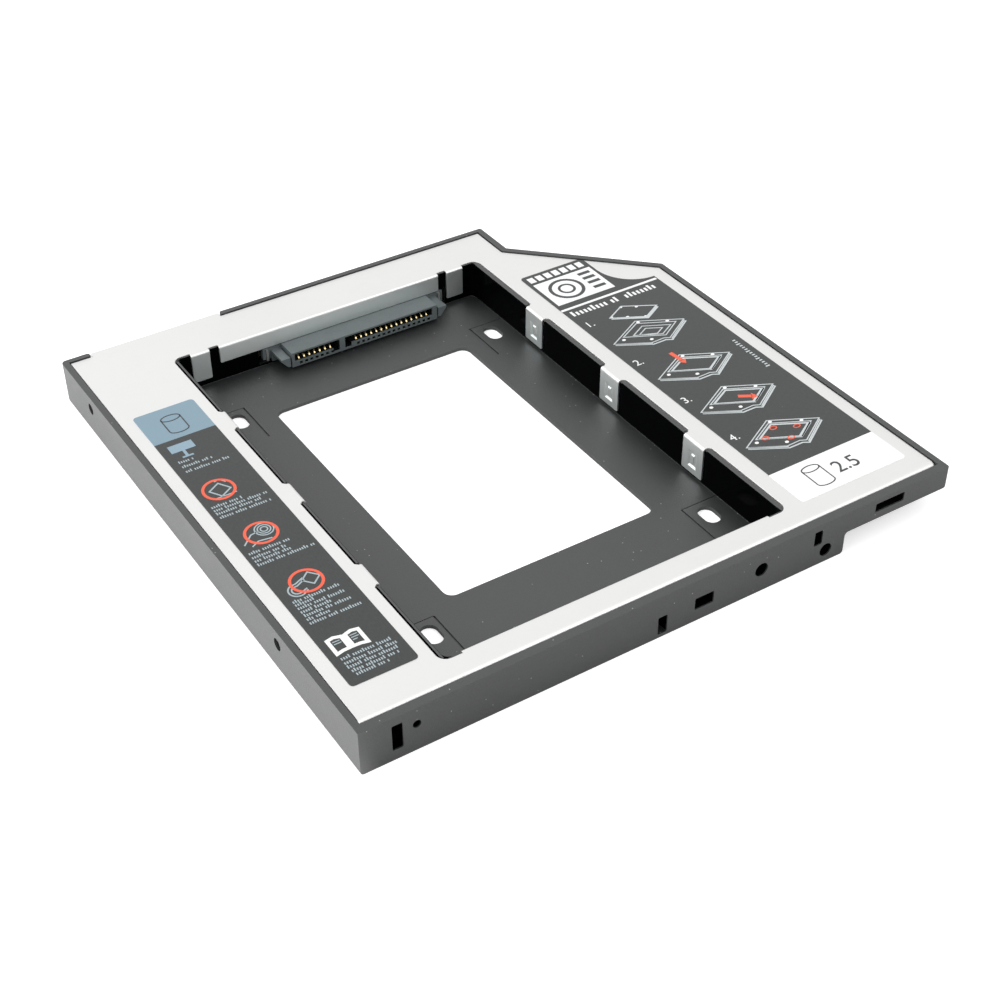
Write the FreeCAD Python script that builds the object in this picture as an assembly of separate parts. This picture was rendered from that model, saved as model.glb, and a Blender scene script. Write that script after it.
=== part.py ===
"""Laptop drive caddy: a frame the size of a slim optical drive that carries a 2.5 inch drive.

A moulded plastic frame has an open bay with a windowed floor, and a thin wing on its right.
A folded aluminium cover lies inside the frame's rim, and its tabs reach down the bay's walls.
A small circuit board behind the bay joins the drive's receptacle to the plug at the rear.

Axes: +X to the right along the front, +Y to the rear, +Z up. Millimetres.
Origin: the middle of the underside, on the surface that the caddy rests on.
"""
import FreeCAD, Part
import math
import os

# The drive that the caddy carries, with the screw holes in its underside
drive_width = 69.85
drive_length = 100.45
drive_hole_side_inset = 4.065
drive_hole_rear_inset = 14.0
drive_hole_front_inset = 9.85

# Whole caddy, from left to right and from front to rear: it adds up to a slim optical drive
height = 9.5
left_channel_width = 20.7
bay_side_room = 2.35
right_channel_width = 9.5
wing_reach = 25.6
front_strip_depth = 7.5
bay_end_room = 6.35
rear_strip_depth = 11.8

# Outline: a deep body on the left, and a thin wing at the top right with its rear corner cut off
wing_thickness = 4.75
wing_rear_setback = 35.9
short_side_length = 11.0
rear_left_round = 1.0
corner_round = 0.6
underside_round = 0.1
body_foot_round = 0.7
wing_edge_round = 1.0
step_fillet = 0.8

# Rim that stands round the cover, side by side
rim_left = 1.35
rim_front = 1.9
rim_right = 1.2
rim_diagonal = 1.35
rim_short_side = 1.4
rim_rear = 1.15
cover_ledge = 0.8
cover_drop = 0.25
cover_clearance = 0.1
cover_edge_gap = 0.25

# Frame walls, floors and ribs
floor_thickness = 0.8
wing_floor_thickness = 0.8
body_right_wall = 1.6
rib_thickness = 0.8
rib_pitch = 12.0
left_rib_inset = 10.5
wing_rib_pitch = 8.0
first_cross_rib = 12.0

# Drive bay
bay_corner_radius = 1.5
bay_wall = 1.8
bay_rear_wall = 1.4
bay_lip_height = 0.25
bay_lip_round = 0.15
bay_lip_left_gap = 0.5
bay_lip_right_gap = 0.3
bay_lip_overhang = 0.35
drive_offset = 0.4

# Floor window, as margins from the bay's sides, and the four slots for the drive's own screws
window_left_margin = 13.1
window_right_margin = 12.7
window_front_margin = 20.8
window_rear_margin = 17.1
window_radius = 2.0
drive_slot_width = 3.4
drive_slot_length = 5.2
seam_width = 0.34
cross_seam_width = 0.16
seam_depth = 0.3
seam_inset = 8.4
front_seam_past_slot = 3.9
rear_seam_before_slot = 7.9
rear_seam_past_slot = 4.1

# Folded cover
sheet = 0.4
bend_inside_radius = 0.2
front_bend_radius = 1.5
front_lip_depth = 2.4
opening_radius = 2.0
opening_left_setback = 0.97
opening_right_setback = 1.23
opening_front_setback = 0.47
opening_rear_setback = 0.45
side_tab_count = 3
side_tab_width = 6.2
side_tab_pitch = 27.85
side_tab_first = 25.65
side_tab_floor_gap = 0.85
side_tab_flare = 0.6
tab_corner_round = 0.3
dimple_width = 2.6
dimple_height = 3.8
dimple_depth = 0.28
dimple_slope = 0.4
dimple_pad_inset = 0.75
dimple_pad_slope = 0.25
dimple_pad_below_face = 0.05
dimple_above_tab_foot = 3.2
flange_receptacle_clearance = 0.1
rear_tab_corner_gap = 2.95
rear_tab_width = 4.2
rear_tab_gap = 2.2
rear_tab_drop = 6.9
front_flange_corner_gap = 3.2

# Openings in the front wall. Slots: from their starting line, from the underside or below the top,
# width, height, though the left one has a distance from the top as its last. Holes: from their
# starting line, from the underside, radius.
left_front_slot = (6.05, 2.2, 2.05, 1.8)
middle_front_slots = ((2.65, 0.75, 2.0, 3.95), (10.7, 2.7, 4.2, 2.6))
upper_front_slots = ((-7.6, 1.45, 1.9, 3.25), (7.1, 1.1, 7.1, 2.0))
front_slot_round = 0.25
left_front_hole = (10.75, 5.85, 0.8)
right_front_holes = ((-19.9, 5.1, 1.45), (-4.5, 2.8, 1.4))
side_hole_radius = 1.2
side_hole_below_top = 3.0
side_hole_from_front = 28.4
side_hole_from_rear = 15.1

# Rear gap in the rim, where the rear plug is reached
plug_gap_left = 6.1
plug_gap_width = 29.7
rim_end_round = 0.5

# Labels: thin films on the cover, as margins from the bay and from the caddy's sides
label_thickness = 0.08
label_corner_radius = 0.8
left_label_left = 4.35
left_label_bay_margin = 3.4
left_label_front = 10.0
left_label_rear_margin = 26.7
right_label_bay_margin = 4.85
right_label_right_margin = 4.55
right_label_front = 7.05
right_label_rear_margin = 23.85
right_label_sweep_width = 9.2
right_label_sweep_setback = 3.05

# Circuit board and what carries it
board_thickness = 1.0
board_side_clearance = 1.2
board_rear_clearance = 0.15
board_wall_clearance = 0.2
board_above_floor = 2.4
wall_window_clearance = 0.9
wall_window_sill = 0.5
board_post_radius = 2.2
board_screw_radius = 0.95
board_screw_clearance = 0.15
board_screw_head_radius = 1.9
board_screw_head_height = 1.0
board_screw_grip = 2.1
screw_pilot_clearance = 0.02
screw_pilot_spare_depth = 0.2
screw_cross_width = 0.4
screw_cross_length = 2.2
screw_cross_depth = 0.5
board_screw_plug_gap = 1.0
board_screw_right_inset = 5.5

# Drive receptacle, facing the front, with two rows of sprung contacts
receptacle_offset = 4.95
receptacle_bay_reach = 5.3
receptacle_wall_reach = 0.75
receptacle_drive_overlap = 3.3
receptacle_above_floor = 0.75
receptacle_height = 3.5
receptacle_end_wall = 2.125
receptacle_arm_gap = 0.35
receptacle_arm_thickness = 2.1
receptacle_arm_rise = 0.4
receptacle_arm_drop = 0.85
receptacle_arm_root = 4.6
receptacle_arm_undercut = 1.5
receptacle_arm_side_height = 0.5
receptacle_ear_length = 1.9
receptacle_ear_bay_reach = 0.3
receptacle_ear_drop = 0.15
receptacle_slot_rise = 1.35
receptacle_slot_height = 1.75
receptacle_slot_depth = 5.2
signal_slot_end_wall = 0.7
signal_slot_inner_room = 1.805
power_slot_inner_room = 3.245
power_slot_end_wall = 1.15
key_width = 1.6
key_rise = 0.45
contact_pitch = 1.27
signal_contact_count = 7
power_contact_count = 15
blank_pitches = 5
contact_width = 0.32
contact_thickness = 0.2
contact_cell_width = 0.72
contact_cell_rise = 0.3
contact_cell_height = 0.65
contact_bar_depth = 0.6
contact_cell_length = 4.3
contact_tip_rise = 0.25
contact_tip_set_back = 1.6
contact_hook_run = 0.75
contact_hook_rise_run = 0.3
contact_fall_run = 1.0
contact_tail_drop_run = 0.5
contact_tail_length = 1.8
clip_width = 0.5
clip_thickness = 0.3
clip_below_ear_top = 0.3
clip_board_reach = 1.2

# Rear plug: a tongue in two parts between two guide posts
plug_side_room = 1.25
plug_base_depth = 2.2
plug_height = 5.0
plug_post_width = 1.7
plug_post_length = 4.2
plug_post_above_floor = 0.8
plug_post_height = 3.6
plug_post_chamfer = 0.5
plug_tongue_above_floor = 0.95
plug_tongue_thickness = 1.2
plug_tongue_length = 3.8
plug_rear_setback = 0.3
plug_board_clearance = 0.1
plug_signal_outer_room = 0.7
plug_signal_inner_room = 1.18
plug_power_inner_room = 1.3
plug_power_outer_room = 1.8
plug_key_width = 0.9
plug_key_rise = 0.6
plug_signal_count = 7
plug_power_count = 6
plug_signal_pitch = 1.27
plug_power_pitch = 1.0
plug_first_signal = -9.9
plug_first_power = 2.4
plug_contact_width = 0.6
plug_contact_thickness = 0.15
plug_contact_setback = 0.35
plug_contact_drop_run = 0.4
plug_tail_length = 1.6
plug_channel_clearance = 0.05

# Small parts on the board: length, breadth and height, then places from the plug's gap or from the
# body's right side, and from the rear side
capacitor_size = (2.0, 1.25, 1.2)
left_capacitor_places = ((5.7, 7.2), (10.2, 7.2))
right_capacitor_places = ((13.9, 7.4),)
resistor_size = (1.6, 0.8, 0.5)
left_resistor_places = ((16.2, 5.4), (16.2, 7.0))
right_resistor_places = ((24.4, 5.4), (24.4, 7.0))
component_cap = 0.35
component_cap_skin = 0.03

# Places worked out from the sizes above
bay_width = drive_width + bay_side_room
bay_length = drive_length + bay_end_room
body_width = left_channel_width + bay_width + right_channel_width
width = body_width + wing_reach
depth = front_strip_depth + bay_length + rear_strip_depth
left = -width / 2
right = width / 2
front = -depth / 2
rear = depth / 2
body_right = left + body_width
wing_side_length = depth - wing_rear_setback
wing_bottom = height - wing_thickness
cover_top = height - cover_drop
cover_bottom = cover_top - sheet
bend_outside_radius = bend_inside_radius + sheet
bay_x0 = left + left_channel_width
bay_x1 = bay_x0 + bay_width
bay_y0 = front + front_strip_depth
bay_y1 = bay_y0 + bay_length
bay_centre_x = (bay_x0 + bay_x1) / 2
bay_centre_y = (bay_y0 + bay_y1) / 2
opening_x0 = bay_x0 - opening_left_setback
opening_x1 = bay_x1 + opening_right_setback
opening_y0 = bay_y0 - opening_front_setback
opening_y1 = bay_y1 + opening_rear_setback
front_flange_width = bay_width - 2 * front_flange_corner_gap
rear_flange_width = bay_width - 2 * (rear_tab_corner_gap + rear_tab_width + rear_tab_gap)
drive_x = bay_centre_x + drive_offset
receptacle_x = drive_x + receptacle_offset
receptacle_y0 = bay_y1 - receptacle_bay_reach
receptacle_y1 = bay_y1 + receptacle_wall_reach
receptacle_z0 = floor_thickness + receptacle_above_floor
receptacle_z1 = receptacle_z0 + receptacle_height
receptacle_slot_z0 = receptacle_z0 + receptacle_slot_rise
receptacle_slot_z1 = receptacle_slot_z0 + receptacle_slot_height
contact_cell_z0 = receptacle_z0 + contact_cell_rise
contact_cell_z1 = contact_cell_z0 + contact_cell_height
end_flange_drop = cover_top - receptacle_z1 - flange_receptacle_clearance
contact_row_half = (signal_contact_count + power_contact_count + blank_pitches - 2) * contact_pitch / 2
first_signal_offset = -contact_row_half
last_signal_offset = first_signal_offset + (signal_contact_count - 1) * contact_pitch
first_power_offset = last_signal_offset + blank_pitches * contact_pitch
receptacle_half_width = contact_row_half + receptacle_end_wall
receptacle_arm_reach = receptacle_half_width + receptacle_arm_gap + receptacle_arm_thickness
receptacle_ear_reach = receptacle_arm_reach + receptacle_ear_length
receptacle_ear_y0 = bay_y1 - receptacle_ear_bay_reach
receptacle_ear_z1 = receptacle_z1 - receptacle_ear_drop
drive_rear_y = receptacle_y0 + receptacle_drive_overlap
board_top = floor_thickness + board_above_floor
board_bottom = board_top - board_thickness
board_rear = rear - rim_rear - cover_ledge - board_rear_clearance
board_front = bay_y1 + bay_rear_wall + board_wall_clearance
plug_gap_x0 = left + plug_gap_left
plug_gap_x1 = plug_gap_x0 + plug_gap_width
plug_x = (plug_gap_x0 + plug_gap_x1) / 2
plug_half_width = plug_gap_width / 2 - plug_side_room
plug_base_y1 = rear - plug_rear_setback - plug_post_length
plug_base_y0 = plug_base_y1 - plug_base_depth
plug_tongue_z0 = floor_thickness + plug_tongue_above_floor
plug_last_signal = plug_first_signal + (plug_signal_count - 1) * plug_signal_pitch
plug_last_power = plug_first_power + (plug_power_count - 1) * plug_power_pitch
board_screw_y = (board_front + board_rear) / 2
board_screw_xs = (plug_x + plug_half_width + board_screw_plug_gap + board_post_radius,
                  body_right - board_screw_right_inset)
reach = 1.0
same_place = 0.01
slot_round_spare = 0.001


def vector(x, y, z):
    return FreeCAD.Vector(x, y, z)


def box(x0, x1, y0, y1, z0, z1):
    """A block between two opposite corners."""
    return Part.makeBox(x1 - x0, y1 - y0, z1 - z0, vector(x0, y0, z0))


def cylinder(radius, length, centre, axis):
    return Part.makeCylinder(radius, length, vector(*centre), vector(*axis))


def prism(points, z0, z1):
    """A flat outline of (x, y) points, raised from z0 to z1."""
    wire = Part.makePolygon([vector(x, y, z0) for x, y in points + points[:1]])
    return Part.Face(wire).extrude(vector(0, 0, z1 - z0))


def prism_along_x(points, x0, x1):
    """A flat outline of (y, z) points, run from x0 to x1."""
    wire = Part.makePolygon([vector(x0, y, z) for y, z in points + points[:1]])
    return Part.Face(wire).extrude(vector(x1 - x0, 0, 0))


def prism_along_y(points, y0, y1):
    """A flat outline of (x, z) points, run from y0 to y1."""
    wire = Part.makePolygon([vector(x, y0, z) for x, z in points + points[:1]])
    return Part.Face(wire).extrude(vector(0, y1 - y0, 0))


def fillet_where(shape, radius, test):
    """Rounds the edges whose middle point passes the test."""
    edges = [edge for edge in shape.Edges if test(edge, edge.BoundBox.Center)]
    return shape.makeFillet(radius, edges) if edges else shape


def is_upright(edge):
    box_size = edge.BoundBox
    return box_size.ZLength > box_size.XLength + box_size.YLength


def near(value, target):
    return abs(value - target) < same_place


def rounded_box(x0, x1, y0, y1, z0, z1, radius):
    """A block with its four upright corners rounded."""
    block = box(x0, x1, y0, y1, z0, z1)
    return fillet_where(block, radius, lambda edge, middle: is_upright(edge))


def upright_slot(x, y, slot_width, slot_length, z0, z1):
    """A slot that runs along Y, with round ends."""
    return rounded_box(x - slot_width / 2, x + slot_width / 2, y - slot_length / 2, y + slot_length / 2,
                       z0, z1, slot_width / 2 - slot_round_spare)


def strip_outline(path, thickness):
    """The outline of a bent strip whose middle line is a list of (y, z) points."""
    upper = []
    lower = []
    for index, (y, z) in enumerate(path):
        y_in, z_in = path[max(index - 1, 0)]
        y_out, z_out = path[min(index + 1, len(path) - 1)]
        first = math.atan2(z - z_in, y - y_in) if index > 0 else None
        second = math.atan2(z_out - z, y_out - y) if index < len(path) - 1 else None
        first = second if first is None else first
        second = first if second is None else second
        half_turn = math.remainder(second - first, 2 * math.pi) / 2
        direction = first + half_turn
        offset = thickness / 2 / math.cos(half_turn)
        upper.append((y - offset * math.sin(direction), z + offset * math.cos(direction)))
        lower.append((y + offset * math.sin(direction), z - offset * math.cos(direction)))
    return upper + lower[::-1]


def caddy_outline(from_left, from_front, from_right, from_diagonal, from_short_side, from_rear):
    """The outline from above, with each side moved inwards by its own distance."""
    x_left = left + from_left
    x_right = right - from_right
    x_short = body_right - from_short_side
    y_front = front + from_front
    y_rear = rear - from_rear
    low = (right, front + wing_side_length)
    high = (body_right, rear - short_side_length)
    length = math.hypot(high[0] - low[0], high[1] - low[1])
    slope = (high[1] - low[1]) / (high[0] - low[0])
    drop = from_diagonal * length / (low[0] - high[0])
    y_low = low[1] - drop + slope * (x_right - low[0])
    y_high = high[1] - drop + slope * (x_short - high[0])
    return [(x_left, y_front), (x_right, y_front), (x_right, y_low), (x_short, y_high),
            (x_short, y_rear), (x_left, y_rear)]


def moulded_block():
    """The frame's outside before anything is hollowed out."""
    body = box(left, body_right, front, rear, 0, height)
    wing = prism(caddy_outline(0, 0, 0, 0, 0, 0), wing_bottom, height)
    block = body.fuse(wing).removeSplitter()
    block = fillet_where(block, rear_left_round, lambda edge, middle:
                         is_upright(edge) and near(middle.x, left) and near(middle.y, rear))
    block = fillet_where(block, corner_round, lambda edge, middle:
                         is_upright(edge) and (near(middle.x, right) or near(middle.y, rear))
                         and middle.x > left + width / 2)
    block = fillet_where(block, step_fillet, lambda edge, middle:
                         near(middle.x, body_right) and near(middle.z, wing_bottom)
                         and edge.BoundBox.YLength > depth / 2)
    block = fillet_where(block, body_foot_round, lambda edge, middle:
                         near(middle.x, body_right) and near(middle.z, 0)
                         and edge.BoundBox.YLength > depth / 2)
    block = fillet_where(block, underside_round, lambda edge, middle:
                         near(middle.x, left) and near(middle.z, 0) and edge.BoundBox.YLength > depth / 2)
    return block.cut(wing_edge_waste())


def wing_edge_waste():
    """What is taken off the long lower edge of the wing to round it."""
    axis_x = right - wing_edge_round
    axis_z = wing_bottom + wing_edge_round
    corner = box(axis_x, right + reach, front - reach, rear + reach, wing_bottom - reach, axis_z)
    start = (axis_x, front - reach, axis_z)
    return corner.cut(cylinder(wing_edge_round, depth + 2 * reach, start, (0, 1, 0)))


def frame_ribs():
    """Thin ribs that carry the cover over the hollow sides of the frame."""
    y_start = bay_y0
    y_end = bay_y1
    x_places = [left + left_rib_inset]
    x_place = body_right + wing_rib_pitch
    while x_place < right - rim_right - cover_ledge - rib_thickness:
        x_places.append(x_place)
        x_place += wing_rib_pitch
    plates = [box(x - rib_thickness / 2, x + rib_thickness / 2, y_start, y_end, 0, cover_bottom)
              for x in x_places]
    y_place = front + first_cross_rib
    while y_place < y_end:
        plates.append(box(left, right, y_place - rib_thickness / 2, y_place + rib_thickness / 2,
                          0, cover_bottom))
        y_place += rib_pitch
    return plates[0].multiFuse(plates[1:])


def frame_hollow():
    """The space under the cover, round the bay, without the bay's own walls and the ribs."""
    step = wing_bottom + wing_floor_thickness
    low = box(left + rim_left + cover_ledge, body_right - body_right_wall, front + rim_front,
              rear - rim_rear - cover_ledge, floor_thickness, step)
    high = prism(caddy_outline(rim_left + cover_ledge, rim_front, rim_right + cover_ledge,
                               rim_diagonal + cover_ledge, rim_short_side + cover_ledge,
                               rim_rear + cover_ledge), step, cover_bottom)
    bay_block = box(bay_x0 - bay_wall, bay_x1 + bay_wall, bay_y0 - bay_wall, bay_y1 + bay_rear_wall,
                    0, cover_bottom)
    return low.fuse(high).cut(bay_block).cut(frame_ribs())


def bay_lip():
    """The lip round the bay that shows where the cover is cut back between its tabs."""
    outer = rounded_box(opening_x0 + bay_lip_left_gap, opening_x1 - bay_lip_right_gap,
                        opening_y0 + cover_clearance, opening_y1 - cover_clearance,
                        cover_bottom, cover_bottom + bay_lip_height, opening_radius)
    inner = rounded_box(bay_x0 + bay_lip_overhang, bay_x1, bay_y0, bay_y1, 0, height, bay_corner_radius)
    lip = outer.cut(inner)
    lip = fillet_where(lip, bay_lip_round, lambda edge, middle:
                       near(middle.z, cover_bottom + bay_lip_height) and on_bay_wall(edge))
    gap = side_tab_flare + cover_clearance
    for y in side_tab_centres():
        half = side_tab_width / 2 + gap
        lip = lip.cut(box(left, right, y - half, y + half, 0, height))
    for middle_x, half_width in end_tab_spans():
        half = half_width + cover_clearance
        lip = lip.cut(box(middle_x - half, middle_x + half, bay_centre_y, rear, 0, height))
    half = front_flange_width / 2 + cover_clearance
    return lip.cut(box(bay_centre_x - half, bay_centre_x + half, front, bay_centre_y, 0, height))


def on_bay_wall(edge):
    """True for an edge that lies on the bay's own wall or on one of its rounded corners."""
    middle = edge.valueAt((edge.FirstParameter + edge.LastParameter) / 2)
    return (bay_x0 - same_place < middle.x < bay_x1 + same_place
            and bay_y0 - same_place < middle.y < bay_y1 + same_place)


def bay_space(z0, z1):
    return rounded_box(bay_x0, bay_x1, bay_y0, bay_y1, z0, z1, bay_corner_radius)


def side_tab_centres():
    return [bay_y0 + side_tab_first + index * side_tab_pitch for index in range(side_tab_count)]


def end_tab_spans():
    """Middle and half width of the rear flange and of the small tab at each end of it."""
    tab_middle = rear_flange_width / 2 + rear_tab_gap + rear_tab_width / 2
    return [(bay_centre_x, rear_flange_width / 2),
            (bay_centre_x - tab_middle, rear_tab_width / 2),
            (bay_centre_x + tab_middle, rear_tab_width / 2)]


def bend_relief():
    """Room along the top of the bay's walls for the inside of the cover's bends."""
    depth_in = bend_inside_radius + cover_clearance
    z0 = cover_bottom - depth_in
    cuts = []
    for y in side_tab_centres():
        half = side_tab_width / 2 + cover_clearance
        cuts.append(box(bay_x0 - depth_in, bay_x0, y - half, y + half, z0, cover_bottom))
        cuts.append(box(bay_x1, bay_x1 + depth_in, y - half, y + half, z0, cover_bottom))
    for middle_x, half_width in end_tab_spans():
        half = half_width + cover_clearance
        cuts.append(box(middle_x - half, middle_x + half, bay_y1, bay_y1 + depth_in, z0, cover_bottom))
    half = front_flange_width / 2 + cover_clearance
    cuts.append(box(bay_centre_x - half, bay_centre_x + half, bay_y0 - depth_in, bay_y0, z0, cover_bottom))
    return cuts


def drive_slot_places():
    """The middles of the four floor slots, under the screw holes of a drive pushed onto the receptacle."""
    side_reach = drive_width / 2 - drive_hole_side_inset
    return [(drive_x + side * side_reach, y) for side in (-1, 1) for y in (front_slot_y(), rear_slot_y())]


def front_slot_y():
    return drive_rear_y - drive_length + drive_hole_front_inset


def rear_slot_y():
    return drive_rear_y - drive_hole_rear_inset


def floor_openings():
    """The window in the bay's floor and the four slots for the drive's screws."""
    z0 = -reach
    z1 = floor_thickness + reach
    cuts = [rounded_box(bay_x0 + window_left_margin, bay_x1 - window_right_margin,
                        bay_y0 + window_front_margin, bay_y1 - window_rear_margin,
                        z0, z1, window_radius)]
    for x, y in drive_slot_places():
        cuts.append(upright_slot(x, y, drive_slot_width, drive_slot_length, z0, z1))
    return cuts


def floor_seams():
    """Fine mould lines round each of the four slots."""
    z0 = floor_thickness - seam_depth
    z1 = floor_thickness + reach
    cuts = []
    spans = ((bay_y0, front_slot_y() + front_seam_past_slot),
             (rear_slot_y() - rear_seam_before_slot, rear_slot_y() + rear_seam_past_slot))
    for number, (y0, y1) in enumerate(spans):
        cross = y1 if number == 0 else y1 - cross_seam_width
        for wall_x, towards in ((bay_x0, 1), (bay_x1, -1)):
            inner = wall_x + towards * seam_inset
            cuts.append(box(inner - seam_width / 2, inner + seam_width / 2, y0, y1, z0, z1))
            low, high = sorted((wall_x, inner))
            cuts.append(box(low, high, cross, cross + cross_seam_width, z0, z1))
    return cuts


def front_wall_slots():
    """The front wall's slots, each as x, z, width and height."""
    x, z, slot_width, below_top = left_front_slot
    slots = [(left + x, z, slot_width, height - below_top - z)]
    for x, z, slot_width, slot_height in middle_front_slots:
        slots.append((bay_centre_x + x, z, slot_width, slot_height))
    for x, below_top, slot_width, slot_height in upper_front_slots:
        slots.append((body_right + x, height - below_top - slot_height, slot_width, slot_height))
    return slots


def front_wall_openings():
    """Slots and round holes through the front wall, where a face plate clips on."""
    cuts = []
    for x, z, slot_width, slot_height in front_wall_slots():
        slot = box(x, x + slot_width, front - reach, front + rim_front + cover_ledge, z, z + slot_height)
        cuts.append(fillet_where(slot, front_slot_round,
                                 lambda edge, middle: edge.BoundBox.YLength > rim_front))
    holes = [(left + left_front_hole[0], *left_front_hole[1:])]
    holes += [(body_right + x, z, radius) for x, z, radius in right_front_holes]
    for x, z, radius in holes:
        cuts.append(cylinder(radius, reach + rim_front + cover_ledge, (x, front - reach, z), (0, 1, 0)))
    return cuts


def side_wall_openings():
    """Round holes through the left wall, for the screws of a laptop's bracket."""
    length = reach + rim_left + cover_ledge
    return [cylinder(side_hole_radius, length, (left - reach, y, height - side_hole_below_top),
                     (1, 0, 0))
            for y in (front + side_hole_from_front, rear - side_hole_from_rear)]


def front_lip_groove():
    """Room behind the front wall for the cover's rolled front edge."""
    return box(left + rim_left, right - rim_right, front + rim_front,
               front + rim_front + cover_edge_gap + front_bend_radius + cover_clearance,
               cover_top - front_lip_depth - cover_clearance, cover_bottom)


def receptacle_window():
    """The way through the bay's rear wall for the receptacle's rear end and its clips."""
    half = receptacle_ear_reach + wall_window_clearance
    return box(receptacle_x - half, receptacle_x + half, bay_y1 - reach, bay_y1 + bay_rear_wall + same_place,
               floor_thickness + wall_window_sill, cover_bottom - end_flange_drop + sheet)


def board_posts():
    posts = []
    for x in board_screw_xs:
        post = cylinder(board_post_radius, board_bottom, (x, board_screw_y, 0), (0, 0, 1))
        posts.append(post)
    return posts


def make_frame():
    """The moulded frame, one piece."""
    frame = moulded_block()
    recess = prism(caddy_outline(rim_left, rim_front, rim_right, rim_diagonal, rim_short_side, rim_rear),
                   cover_bottom, height + reach)
    plug_gap = box(plug_gap_x0, plug_gap_x1, rear - rim_rear - cover_ledge - same_place, rear + reach,
                   floor_thickness, height + reach)
    frame = frame.cut(recess)
    frame = frame.cut(plug_gap)
    frame = fillet_where(frame, rim_end_round, lambda edge, middle:
                         is_upright(edge) and near(middle.y, rear) and edge.BoundBox.ZLength > height / 2
                         and (near(middle.x, plug_gap_x0) or near(middle.x, plug_gap_x1)))
    frame = frame.cut(frame_hollow())
    frame = frame.fuse(bay_lip())
    frame = frame.cut([bay_space(floor_thickness, height + reach), receptacle_window(), front_lip_groove()]
                      + bend_relief())
    frame = frame.cut(floor_openings() + floor_seams())
    frame = frame.cut(front_wall_openings() + side_wall_openings())
    frame = frame.fuse(board_posts())
    pilot = board_screw_radius + screw_pilot_clearance
    pilot_foot = board_top - board_screw_grip - screw_pilot_spare_depth
    pilots = [cylinder(pilot, board_top, (x, board_screw_y, pilot_foot), (0, 0, 1)) for x in board_screw_xs]
    return frame.cut(pilots).removeSplitter()


def folded_tab(tab_width, drop, root):
    """A tab folded down from the cover. Its fold runs along Y and its face looks along -X from x = 0."""
    outer = bend_outside_radius
    inner = bend_inside_radius
    centre_z = cover_top - outer
    diagonal = math.sqrt(0.5)
    foot = cover_top - drop
    corners = [vector(outer + root, 0, cover_top), vector(outer, 0, cover_top), vector(0, 0, centre_z),
               vector(0, 0, foot), vector(sheet, 0, foot), vector(sheet, 0, centre_z),
               vector(outer, 0, cover_bottom), vector(outer + root, 0, cover_bottom)]
    outside = Part.Arc(corners[1], vector(outer - outer * diagonal, 0, centre_z + outer * diagonal),
                       corners[2])
    inside = Part.Arc(corners[5], vector(outer - inner * diagonal, 0, centre_z + inner * diagonal),
                      corners[6])
    edges = [Part.LineSegment(corners[0], corners[1]).toShape(), outside.toShape()]
    edges += [Part.LineSegment(corners[index], corners[index + 1]).toShape() for index in (2, 3, 4)]
    edges.append(inside.toShape())
    edges += [Part.LineSegment(corners[6], corners[7]).toShape(),
              Part.LineSegment(corners[7], corners[0]).toShape()]
    tab = Part.Face(Part.Wire(edges)).extrude(vector(0, tab_width, 0))
    tab.translate(vector(0, -tab_width / 2, 0))
    return fillet_where(tab, tab_corner_round, lambda edge, middle:
                        near(middle.z, foot) and edge.BoundBox.XLength > sheet / 2
                        and edge.BoundBox.YLength < sheet / 2)


def frustum(x0, x1, y_half, z0, z1, shrink):
    """A flat-topped pyramid from x0 to x1, each side of its far end drawn in by shrink."""
    def ring(x, inset):
        points = [(-y_half + inset, z0 + inset), (y_half - inset, z0 + inset),
                  (y_half - inset, z1 - inset), (-y_half + inset, z1 - inset)]
        return Part.makePolygon([vector(x, y, z) for y, z in points + points[:1]])
    return Part.makeLoft([ring(x0, 0), ring(x1, shrink)], True, True)


def side_tab(root):
    """A side tab with its flared root and a coined square hollow, which has a pad in its middle."""
    drop = cover_top - floor_thickness - side_tab_floor_gap
    tab = folded_tab(side_tab_width, drop, root)
    z_middle = floor_thickness + side_tab_floor_gap + dimple_above_tab_foot
    z0 = z_middle - dimple_height / 2
    z1 = z_middle + dimple_height / 2
    hollow = frustum(0, dimple_depth, dimple_width / 2, z0, z1, dimple_slope)
    pad = frustum(dimple_depth, dimple_pad_below_face, dimple_width / 2 - dimple_pad_inset,
                  z0 + dimple_pad_inset, z1 - dimple_pad_inset, dimple_pad_slope)
    tab = tab.cut(hollow.cut(pad))
    half = side_tab_width / 2
    x_root = bend_outside_radius + root
    flare = [(x_root, -half - side_tab_flare), (x_root, half + side_tab_flare),
             (x_root - side_tab_flare, half), (x_root - side_tab_flare, -half)]
    return tab.fuse(prism(flare, cover_bottom, cover_top))


def placed(shape, angle, x, y):
    """A copy of the shape, turned about Z and moved into place."""
    copy = shape.copy()
    copy.rotate(vector(0, 0, 0), vector(0, 0, 1), angle)
    copy.translate(vector(x, y, 0))
    return copy


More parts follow.
